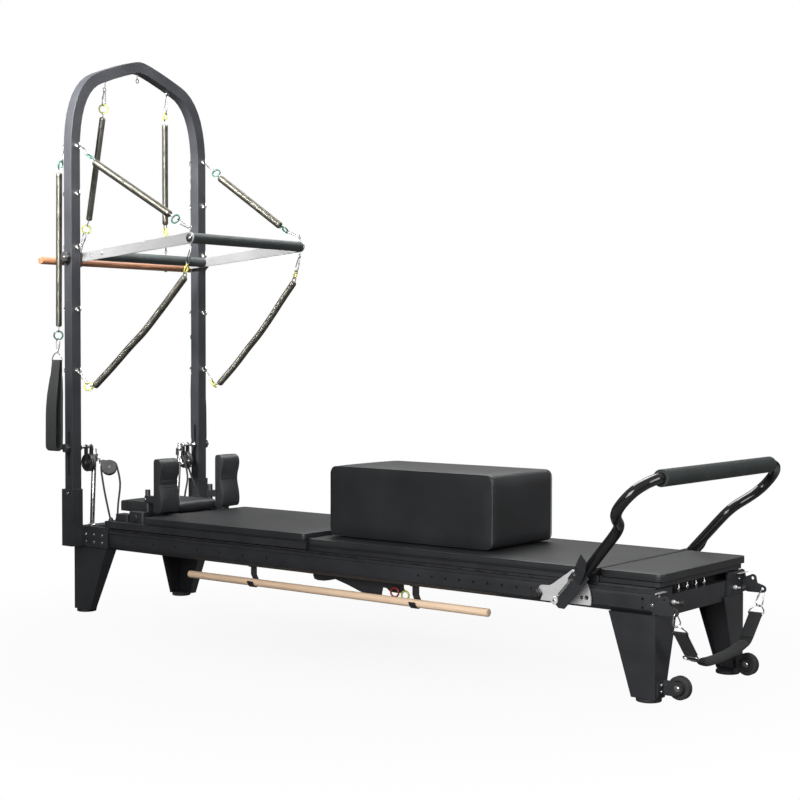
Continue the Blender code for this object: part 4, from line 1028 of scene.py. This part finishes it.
screw = unit_screw(0.0056)
for label, side in SIDES:
    out = (0, side, 0)
    places = [(at(x, side * 0.2863, z), out) for x in (0.0398, 0.0862, 0.1327) for z in (0.3047, 0.2766)]
    places += [(at(0.0180, side * 0.3574, 0.4640), out), (at(2.4903, side * 0.2853, 0.2849), out),
               (at(2.4965, side * 0.2560, 0.2990 if side > 0 else 0.3060), (1, 0, 0)),
               (at(2.5010, side * 0.2460, 0.0500), (1, 0, 0)), (at(2.5010, side * 0.2460, 0.0310), (1, 0, 0))]
    repeated(f"screws_{label}", screw, places, chrome, "frame")
bpy.data.objects.remove(screw, do_unlink=True)


# Springs
# Each spring is a close coil of dark wire with a cap and a hook at both ends. Coloured rings and wire links
# join it to the eyes. The upper and lower springs run to the push-through bar, the arch springs run to the
# roll-down bar, and the two behind the uprights carry padded hand loops.

steel = Finish("spring_wire", "spring_steel", {"Metallic": 1.0})
oil = steel.noise(40.0, 3.0)
coiled_steel = steel.coat(steel.ramp(oil, (0.3, (0.080, 0.077, 0.064)), (0.7, (0.150, 0.145, 0.123))),
                          oil * 0.15 + 0.36, steel.noise(900.0), 0.0001, 0.2)


def enamel(name, bright, dull):
    """Painted wire with small chips of wear."""
    made = Finish(name, "chrome", {"Coat Weight": 0.3})
    chips = made.noise(160.0, 4.0)
    return made.coat(made.ramp(chips, (0.25, dull), (0.6, bright)), chips * 0.25 + 0.22, chips, 0.0001, 0.3)


worn = Finish("worn_steel_wire", "chrome", {"Metallic": 1.0})
rub = worn.noise(130.0, 4.0)
wire_steel = worn.coat(worn.ramp(rub, (0.3, (0.26, 0.26, 0.26)), (0.7, (0.46, 0.455, 0.45))),
                       rub * 0.2 + 0.16, rub, 0.0001, 0.3)
teal = enamel("teal_enamel", (0.003, 0.062, 0.040), (0.002, 0.024, 0.017))
lime = enamel("lime_enamel", (0.420, 0.440, 0.070), (0.190, 0.200, 0.030))

winding, given, result = node_tree("close_coil", ("Turns per metre", "NodeSocketFloat"),
                                   ("Coil radius", "NodeSocketFloat"),
                                   ("Wire radius", "NodeSocketFloat"), ("Finish", "NodeSocketMaterial"))
SIDES_PER_TURN = 12


def number_node(operation, *ends):
    made = winding.nodes.new("ShaderNodeMath")
    made.operation = operation
    for slot, end in zip(made.inputs, ends):
        if isinstance(end, float):
            slot.default_value = end
        else:
            winding.links.new(end, slot)
    return made.outputs[0]


def vector_node(operation, *ends, scale=None):
    made = winding.nodes.new("ShaderNodeVectorMath")
    made.operation = operation
    for slot, end in zip(made.inputs, ends):
        winding.links.new(end, slot)
    if scale:
        winding.links.new(scale, made.inputs["Scale"])
    return made.outputs[0]


line = winding.nodes.new("GeometryNodeMeshToCurve")
winding.links.new(given["Geometry"], line.inputs["Mesh"])
fine_line = winding.nodes.new("GeometryNodeResampleCurve")
fine_line.mode = "LENGTH"
winding.links.new(line.outputs["Curve"], fine_line.inputs["Curve"])
winding.links.new(number_node("DIVIDE", 1.0 / SIDES_PER_TURN, given["Turns per metre"]),
                  fine_line.inputs["Length"])
angle = number_node("MULTIPLY", winding.nodes.new("GeometryNodeInputIndex").outputs[0],
                    2 * math.pi / SIDES_PER_TURN)
normal = winding.nodes.new("GeometryNodeInputNormal").outputs["Normal"]
tangent = winding.nodes.new("GeometryNodeInputTangent").outputs["Tangent"]
sideways = vector_node("CROSS_PRODUCT", tangent, normal)
offset = vector_node("ADD", vector_node("SCALE", normal, scale=number_node("COSINE", angle)),
                     vector_node("SCALE", sideways, scale=number_node("SINE", angle)))
helix = winding.nodes.new("GeometryNodeSetPosition")
winding.links.new(fine_line.outputs["Curve"], helix.inputs["Geometry"])
winding.links.new(vector_node("SCALE", offset, scale=given["Coil radius"]), helix.inputs["Offset"])
wire_ring = winding.nodes.new("GeometryNodeCurvePrimitiveCircle")
wire_ring.inputs["Resolution"].default_value = 6
winding.links.new(given["Wire radius"], wire_ring.inputs["Radius"])
wire_mesh = winding.nodes.new("GeometryNodeCurveToMesh")
wire_mesh.inputs["Fill Caps"].default_value = True
winding.links.new(helix.outputs["Geometry"], wire_mesh.inputs["Curve"])
winding.links.new(wire_ring.outputs["Curve"], wire_mesh.inputs["Profile Curve"])
paint = winding.nodes.new("GeometryNodeSetMaterial")
winding.links.new(wire_mesh.outputs["Mesh"], paint.inputs["Geometry"])
winding.links.new(given["Finish"], paint.inputs["Material"])
winding.links.new(paint.outputs["Geometry"], result)

CAMERA_SIDE = Vector((0.77, -0.64, 0.0))
RING, SPRING_WIRE, TURNS = 0.0162, 0.00125, 400.0
COIL_RADII = {"upper": 0.0142, "lower": 0.0130, "arch": 0.0122, "back": 0.0118}
CAP = ((0.25, -0.0070), (0.58, -0.0058), (0.84, -0.0030), (0.96, 0.0010), (0.96, 0.0060), (0.84, 0.0064),
       (0.74, 0.0064))


def coil_between(name, points, follow, instead):
    """The wound wire and the caps at its ends."""
    track = bpy.data.meshes.new(name)
    track.from_pydata(points, [(k, k + 1) for k in range(len(points) - 1)], [])
    outer = COIL_RADII[name.split("_")[0]]
    wound = grown(name, track, winding, {"Turns per metre": TURNS, "Coil radius": outer - SPRING_WIRE,
                                         "Wire radius": SPRING_WIRE, "Finish": coiled_steel}, None, instead)
    wound.data.shade_smooth()
    follow(wound)
    bm = None
    for tip, inner in ((points[0], points[1]), (points[-1], points[-2])):
        bm = turned([(outer * r, d) for r, d in CAP], tip, (inner - tip).normalized(), 28, bm)
    follow(piece(f"{name}_caps", bm, coiled_steel, None))


def chain(name, run, follow, ring_finish, flat_on, links):
    """Ring, hook and link along a run from a coil's end over the ring to an eye."""
    coil_end, ring_place, eye_place = run
    here = (eye_place - ring_place).normalized()
    there = (coil_end - ring_place).normalized()
    flat = CAMERA_SIDE if flat_on else here.cross(CAMERA_SIDE).normalized() + CAMERA_SIDE * 0.45
    follow(piece(f"{name}_ring", closed_link(ring_place, here, flat, 2 * RING, 2 * RING, 0.0032), ring_finish,
                 None, sharp=60.0))
    hook_far = ring_place + there * (RING - 0.0042)
    hook_near = coil_end + there * 0.0040
    bm = closed_link((hook_far + hook_near) / 2, there, there.cross(flat), (hook_far - hook_near).length,
                     0.0120, 0.0019)
    link_far = eye_place - here * 0.0042
    link_near = ring_place + here * (RING - 0.0042)
    bm = snap_hook(link_near, link_far, here.cross(flat).normalized() + flat * 0.8, 0.0200, 0.0019, bm)
    follow(piece(f"{name}_link", bm, links, None, sharp=60.0))


def snap_hook(low, high, facing, width, wire, bm=None):
    """A pear-shaped snap hook: wide at one end, narrow at the other, with a sleeve where its gate closes."""
    along = (high - low).normalized()
    across = along.cross(facing).normalized()
    length = (high - low).length
    outline = ((0.00, 0.00), (0.03, 0.24), (0.11, 0.42), (0.22, 0.50), (0.34, 0.48), (0.55, 0.40),
               (0.76, 0.31), (0.89, 0.24), (0.97, 0.13), (1.00, 0.00))
    path = [low + along * length * a + across * width * b for a, b in outline]
    path += [low + along * length * a - across * width * b for a, b in reversed(outline[1:-1])]
    bm = tube(path, wire, 10, bm, loop=True)
    gate = [low + along * length * a - across * width * b for a, b in ((0.44, 0.445), (0.62, 0.375))]
    return tube(gate, wire * 1.5, 12, bm)


def crossing():
    return lambda made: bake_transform(made)


PUSH_SPRINGS = {
    # spring: top eye, ring, flat on; coil; ring, flat on, low eye; finish of the rings
    "upper_spring_near": ((0.0579, -0.3303, 1.7809), (0.1260, -0.3265, 1.7310), False,
                          [(0.1486, -0.3250, 1.7080), (0.5120, -0.2915, 1.5005)],
                          (0.5434, -0.2900, 1.4806), True, (0.6237, -0.2930, 1.4430), teal),
    "upper_spring_far": ((0.0579, 0.3303, 1.7809), (0.1300, 0.3265, 1.7310), True,
                         [(0.1570, 0.3247, 1.7065), (0.5137, 0.2915, 1.4970)],
                         (0.5438, 0.2900, 1.4790), False, (0.6180, 0.2930, 1.4470), teal),
    "lower_spring_near": ((0.0579, -0.3303, 0.9300), (0.1105, -0.3285, 0.8710), True,
                          [(0.1480, -0.3280, 0.8750), (0.2405, -0.3215, 0.9480), (0.3190, -0.3140, 1.0156),
                           (0.3930, -0.3065, 1.0759), (0.4630, -0.3000, 1.1430), (0.5245, -0.2935, 1.2050),
                           (0.5870, -0.2895, 1.2665)],
                          (0.5966, -0.2890, 1.2990), False, (0.6250, -0.2930, 1.3730), lime),
    "lower_spring_far": ((0.0579, 0.3303, 0.9300), (0.1105, 0.3285, 0.8710), False,
                         [(0.1480, 0.3280, 0.8750), (0.2405, 0.3215, 0.9480), (0.3190, 0.3140, 1.0156),
                          (0.3930, 0.3065, 1.0759), (0.4630, 0.3000, 1.1430), (0.5245, 0.2935, 1.2050),
                          (0.5880, 0.2895, 1.2690)],
                         (0.5994, 0.2890, 1.3036), False, (0.6190, 0.2930, 1.3750), lime),
    "arch_spring_near": ((0.0110, -0.1600, 2.0155), (0.0041, -0.1600, 1.9425), True,
                         [(-0.0030, -0.1590, 1.9050), (-0.0276, -0.2070, 1.5150)],
                         (-0.0388, -0.2120, 1.4760), True, (-0.0545, -0.2236, 1.4060), lime),
    "arch_spring_far": ((0.0190, 0.1600, 2.0385), (0.0061, 0.1600, 1.9510), False,
                        [(0.0070, 0.1590, 1.9130), (-0.0441, 0.2070, 1.5265)],
                        (-0.0494, 0.2130, 1.4910), False, (-0.0593, 0.2236, 1.4130), lime),
}
for name, (eye, ring, flat_on, coil, low_ring, low_flat_on, low_eye, colour) in PUSH_SPRINGS.items():
    eye, ring, low_ring, low_eye = at(*eye), at(*ring), at(*low_ring), at(*low_eye)
    follow = crossing()
    points = through([at(*p) for p in coil], 6)
    coil_between(f"{name}_coil", points, follow, (name,))
    chain(f"{name}_top", (points[0], ring, eye), follow, colour, flat_on, wire_steel)
    chain(f"{name}_low", (points[-1], low_ring, low_eye), follow, colour, low_flat_on, wire_steel)

bm_push, bm_roll = None, None
for label, side in SIDES:
    for name, direction in ((f"upper_spring_{label}", 1), (f"lower_spring_{label}", -1)):
        eye = at(*PUSH_SPRINGS[name][6])
        bm_push = closed_link(eye, (0, 0, 1), (0.5, 1, 0), 0.0150, 0.0150, 0.0017, bm_push)
        surface = at(PUSH_FRONT.x, side * 0.2930, PUSH_FRONT.y + direction * 0.0185)
        bm_push = tube([eye - (eye - surface).normalized() * 0.0075, surface], 0.0020, 10, bm_push)
    low_eye = at(*PUSH_SPRINGS[f"arch_spring_{label}"][6])
    under = at(-0.0600, side * 0.2236, 1.3300)
    bm_roll = closed_link(low_eye, (0, 0, 1), (1, 0.3, 0), 0.0150, 0.0150, 0.0017, bm_roll)
    bm_roll = tube([low_eye - Vector((0, 0, 0.0075)), at(-0.0600, side * 0.2236, 1.3600), under], 0.0020, 10,
                   bm_roll)
    bm_roll = turned([(0.0055, 0.0), (0.0055, 0.0030), (0.0040, 0.0036)], under, (0, 0, 1), 6, bm_roll)
piece("push_bar_eyes", bm_push, chrome, "push_bar", sharp=50.0)
piece("rolldown_eyes", bm_roll, chrome, "rolldown_bar", sharp=50.0)


# Straps
# Woven black webbing hangs from D-shaped rings. The hand loops behind the uprights have padded sleeves with
# stitched edges, and the foot strap at the end has a padded sleeve.

weave = Finish("woven_webbing", "black_webbing", {"Sheen Weight": 0.08, "Sheen Roughness": 0.5})
across_it, along_it = weave.unrolled()
warp = ((across_it * 60.0) * 6.2832).math("SINE")
weft = ((along_it * 700.0) * 6.2832).math("SINE")
ribs = warp * weft
lint = weave.noise(420.0, 3.0)
webbing = weave.coat(weave.ramp(ribs * 0.2 + lint * 0.5 + 0.15, (0.2, (0.005, 0.0055, 0.006)),
                                (0.8, (0.016, 0.017, 0.018))),
                     lint * 0.12 + 0.72, ribs + lint * 0.4, 0.0005, 0.7)


def ribbon(path, widths, thicknesses, across, closed=False, corner=5):
    """A flat band with rounded edges along a path. Across is the direction of its width."""
    path = [Vector(p) for p in path]
    widths = widths if isinstance(widths, list) else [widths] * len(path)
    thicknesses = thicknesses if isinstance(thicknesses, list) else [thicknesses] * len(path)
    across = Vector(across).normalized()
    rings = []
    for i, point in enumerate(path):
        on = path[(i + 1) % len(path)] if closed else path[min(i + 1, len(path) - 1)]
        back = path[i - 1] if closed else path[max(i - 1, 0)]
        way = (on - back).normalized()
        wide = (across - way * across.dot(way)).normalized()
        deep = wide.cross(way).normalized()
        half, bow = widths[i] / 2 - thicknesses[i] / 2, thicknesses[i] / 2
        ring = []
        for sign in (1, -1):
            ring += [point + wide * sign * (half + bow * math.cos(a)) + deep * sign * bow * math.sin(a)
                     for a in (math.pi * (k / corner - 0.5) for k in range(corner + 1))]
            ring += [point + deep * sign * bow + wide * sign * half * (1 - 2 * k / 6) for k in range(1, 6)]
        rings.append(ring)
    return skin(rings, closed=closed)


def d_ring(centre, way, across, width, drop, wire):
    """A straight bar with a bow above it."""
    way, across = Vector(way).normalized(), Vector(across).normalized()
    half = width / 2
    path = [centre + across * half * x + way * drop * y for x, y in (
        (-1.0, 0.0), (-0.5, 0.0), (0.0, 0.0), (0.5, 0.0), (1.0, 0.0), (1.02, 0.15), (0.88, 0.50),
        (0.55, 0.82), (0.20, 0.97), (-0.20, 0.97), (-0.55, 0.82), (-0.88, 0.50), (-1.02, 0.15))]
    return tube(path, wire, 10, loop=True)


thread = bpy.data.objects.new("one_stitch", bpy.data.meshes.new("one_stitch"))
bm = tube([(0, 0, -0.0013), (0, 0, -0.0008), (0, 0, 0.0008), (0, 0, 0.0013)],
          [0.0001, 0.0003, 0.0003, 0.0001], 6)
bm.to_mesh(thread.data)
bm.free()
bpy.context.collection.objects.link(thread)
STITCH = 0.0038


def stitched(name, line, finish, body):
    """Stitches along a line of points."""
    places, left = [], 0.0
    for a, b in zip(line, line[1:]):
        length, spot = (b - a).length, left
        while spot < length:
            places.append((a.lerp(b, spot / length), (b - a).normalized()))
            spot += STITCH
        left = spot - length
    repeated(name, thread, places, finish, body)


for label, side in SIDES:
    def hung(x, y, z):
        return at(x, side * y, z)

    body = f"back_spring_{label}"
    follow = lambda made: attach(made, body)
    top_eye, coil_top, coil_low = (hung(*place) for place in (
        (-0.0170, 0.3303, 1.7809), (-0.0300, 0.3500, 1.6750), (-0.0297, 0.3550, 1.1025)))
    coil_between(f"back_spring_{label}_coil", through([coil_top, coil_low], 6), follow, (body,))
    chain(f"back_spring_{label}_top", (coil_top, hung(-0.0285, 0.3445, 1.7110), top_eye), follow, teal, False,
          wire_steel)
    chain(f"back_spring_{label}_low", (coil_low, hung(-0.0295, 0.3580, 1.0640), hung(-0.0285, 0.3625, 0.9975)),
          follow, teal, True, wire_steel)
    bar = hung(-0.0290, 0.3655, 0.9655)
    piece(f"hand_loop_{label}_ring", d_ring(bar, (0, 0, 1), (1, 0, 0), 0.0560, 0.0330, 0.0020), chrome, body,
          sharp=60.0)
    path = ([hung(-0.0290, 0.3655 + 0.0046 * math.cos(a), 0.9655 + 0.0046 * math.sin(a))
             for a in (math.pi * k / 8 for k in range(9))]
            + through([hung(-0.0295, 0.3600, 0.9300), hung(-0.0300, 0.3625, 0.8000),
                       hung(-0.0300, 0.3630, 0.7000), hung(-0.0300, 0.3640, 0.6520)], 6)
            + [hung(-0.0300, 0.3800 - 0.0160 * math.cos(a), 0.6440 - 0.0160 * math.sin(a))
               for a in (math.pi * k / 12 for k in range(1, 12))]
            + through([hung(-0.0300, 0.3960, 0.6520), hung(-0.0300, 0.3955, 0.7000),
                       hung(-0.0300, 0.3925, 0.8000), hung(-0.0295, 0.3745, 0.9300)], 6))
    piece(f"hand_loop_{label}_webbing", ribbon(path, 0.0480, 0.0018, (1, 0, 0), closed=True), webbing, body)
    padded_part = [p for p in path if p.z < 0.9240]
    start = path.index(padded_part[0])
    run = path[start:start + len(padded_part)]
    swell = [min(1.0, min(k, len(run) - 1 - k) / 3.0) for k in range(len(run))]
    bm = ribbon(run, [0.0520 + 0.0060 * t for t in swell], [0.0030 + 0.0052 * t for t in swell], (1, 0, 0))
    piece(f"hand_loop_{label}_pad", bm, webbing, body)
    for number, shift in enumerate((-0.0240, 0.0240)):
        outward = [p + Vector((shift, side * (-0.0040 if p.y * side < 0.3800 else 0.0040), 0))
                   for p in run[4:-4] if p.z > 0.6650]
        halves = [[p for p in outward if p.y * side < 0.3800], [p for p in outward if p.y * side >= 0.3800]]
        for part, half_line in enumerate(halves):
            stitched(f"hand_loop_{label}_stitches_{number}_{part}", half_line, webbing, body)

STRAP_X = 2.5600
strap_line = through([at(STRAP_X, y, z) for y, z in (
    (-0.2478, 0.2059), (-0.2120, 0.1670), (-0.1761, 0.1300), (-0.1400, 0.1100), (-0.0950, 0.1010),
    (-0.0400, 0.0990), (0.0200, 0.1005), (0.0800, 0.1050), (0.1300, 0.1130), (0.1640, 0.1250),
    (0.2000, 0.1590), (0.2390, 0.1988))], 6)
for label, side in SIDES:
    ear = at(2.5622, side * 0.2828, 0.2655)
    bar = strap_line[0] if side < 0 else strap_line[-1]
    up_way = Vector((0.0, side * 0.655, 0.757))
    bow_top = bar + up_way * 0.0310
    hook = snap_hook(bow_top - up_way * 0.0036, ear, (0.8, -0.6, 0), 0.0240, 0.0020)
    piece(f"foot_strap_{label}_hook", hook, chrome, "foot_strap", sharp=60.0)
    bm = d_ring(bar, up_way, (1, 0, 0), 0.0490, 0.0310, 0.0022)
    piece(f"foot_strap_{label}_ring", bm, chrome, "foot_strap", sharp=60.0)
    fold = [bar + Vector((0, side * 0.0042 * math.cos(a), 0.0042 * math.sin(a))) for a in
            (math.radians(d) for d in (150, 120, 90, 60, 30, 0, -30))]
    straight = [p for p in (strap_line if side < 0 else strap_line[::-1]) if p.y * side < abs(bar.y) - 0.006]
    straight = [p for p in straight if p.y * side > 0.1150]
    under = [p + Vector((0, side * 0.0013, -0.0013)) for p in straight]
    over = [p - Vector((0, side * 0.0016, -0.0016)) for p in straight if p.z > 0.1330]
    bm = ribbon(over[::-1] + fold + under, 0.0430, 0.0018, (1, 0, 0))
    piece(f"foot_strap_{label}_webbing", bm, webbing, "foot_strap")
slide = at(STRAP_X, -0.1826, 0.1243)
bm = closed_link(slide, (1, 0, 0), (0, 0.70, 0.72), 0.0490, 0.0150, 0.0019)
piece("foot_strap_slide", bm, chrome, "foot_strap", sharp=60.0)
run = [p for p in strap_line if -0.1230 < p.y < 0.1640]
swell = [min(1.0, math.sqrt(min(k, len(run) - 1 - k) / 3.0)) for k in range(len(run))]
bm = ribbon(run, [0.0300 + 0.0050 * t for t in swell], [0.0100 + 0.0150 * t for t in swell], (1, 0, 0),
            corner=9)
piece("foot_strap_sleeve", bm, webbing, "foot_strap", ("foot_strap",))
bpy.data.objects.remove(thread, do_unlink=True)


# Under the carriage and at the foot end
# A black spring bar hangs between the rails behind the carriage, with the coloured ends of its springs. Dark
# strips of painted shade line the upper lips of the rails. At the foot end a bright strip and pins show under
# the pad.

ember = enamel("red_enamel", (0.300, 0.012, 0.010), (0.110, 0.008, 0.008))
bm = slab(oblong((0.9450, 0.9620), (0.2900, 0.3334), 0.004, 3), "xz", -0.2150, 0.2150)
piece("carriage_spring_bar", bm, satin_black, "carriage", bevel=0.0010)
keel = [(1.1449, 0.2620), (1.1449, 0.2391), (1.1502, 0.2278), (1.1659, 0.2240), (1.1936, 0.2245),
        (1.2212, 0.2292), (1.2451, 0.2348), (1.3028, 0.2201), (1.3564, 0.2034), (1.3696, 0.2004),
        (1.4468, 0.1984), (1.4491, 0.2126), (1.4532, 0.2269), (1.4678, 0.2258), (1.4808, 0.2170),
        (1.4872, 0.2156), (1.5097, 0.2143), (1.5257, 0.2159), (1.5321, 0.2157), (1.5464, 0.2234),
        (1.5400, 0.2328), (1.5400, 0.2620)]
for label, side in SIDES:
    bm = slab([Vector(c) for c in keel], "xz", *span(side, 0.2190, 0.2215))
    bm = slab(oblong((1.1460, 1.5390), span(side, 0.2200, 0.2358), 0.001, 2), "xy", 0.2550, 0.2618, bm)
    piece(f"spring_keel_{label}", bm, satin_black, "frame", sharp=25.0, bevel=0.0006)
for number, (x, z, size, colour) in enumerate(((1.5087, 0.2171, 0.0290, ember),
                                               (1.5524, 0.2119, 0.0265, lime))):
    bm = closed_link(at(x, -0.2290, z), (0, 0, 1), (0.2, -1, 0), size, size, 0.0032)
    piece(f"spare_ring_{number}", bm, colour, "frame", sharp=60.0)

# Very dark nylon strips on the step and ledge of each rail's upper lip are painted shade, standing for the
# deep shadow between the pads and the rails.
for label, side in SIDES:
    bm = slab(oblong((0.1700, 2.4800), span(side, 0.2642, 0.2655), 0.0003, 2), "xy", 0.3224, 0.3299)
    bm = slab(oblong((0.1700, 2.4800), span(side, 0.2655, 0.2792), 0.0003, 2), "xy", 0.3223, 0.3227, bm)
    piece(f"rail_{label}_seal", bm, nylon, "frame")

bm = None
for y in (-0.0972, -0.0435, 0.0113, 0.0639):
    bm = turned([(0.0030, 0.0), (0.0046, 0.0006), (0.0056, 0.0050), (0.0050, 0.0110), (0.0030, 0.0135),
                 (0.0024, 0.0250)], at(2.4720, y, 0.3018), (0, 0, 1), 20, bm)
piece("foot_end_pins", bm, chrome, "frame", sharp=40.0)
piece("foot_end_back", slab(oblong((2.4560, 2.4590), (-0.2350, 0.2350), 0.001, 2), "xy", 0.3018, 0.3300),
      satin_black, "frame", bevel=0.0005)
for label, side, y, z in (("near", -1, -0.1794, 0.2810), ("far", 1, 0.2167, 0.2770)):
    bm = slab(oblong((2.4970, 2.5090), span(side, 0.2330, 0.2795), 0.001, 2), "xy", 0.3172, 0.3188)
    bm = slab(oblong((2.5020, 2.5090), span(side, 0.2780, 0.2950), 0.002, 3), "xy", 0.3173, 0.3187, bm)
    bm = turned([(0.0030, 0.0), (0.0058, 0.0006), (0.0070, 0.0040), (0.0062, 0.0088), (0.0030, 0.0105),
                 (0.0030, 0.0270)], at(2.4966, y, z), (1, 0, 0), 24, bm)
    piece(f"foot_end_pull_{label}", bm, satin, "frame", sharp=40.0)
    bm = turned([(0.0040, 0.0), (0.0086, 0.0010), (0.0094, 0.0060), (0.0080, 0.0120), (0.0040, 0.0138)],
                at(2.5230, y, z), (1, 0, 0), 28)
    piece(f"foot_end_knob_{label}", bm, nylon, "frame", sharp=50.0)
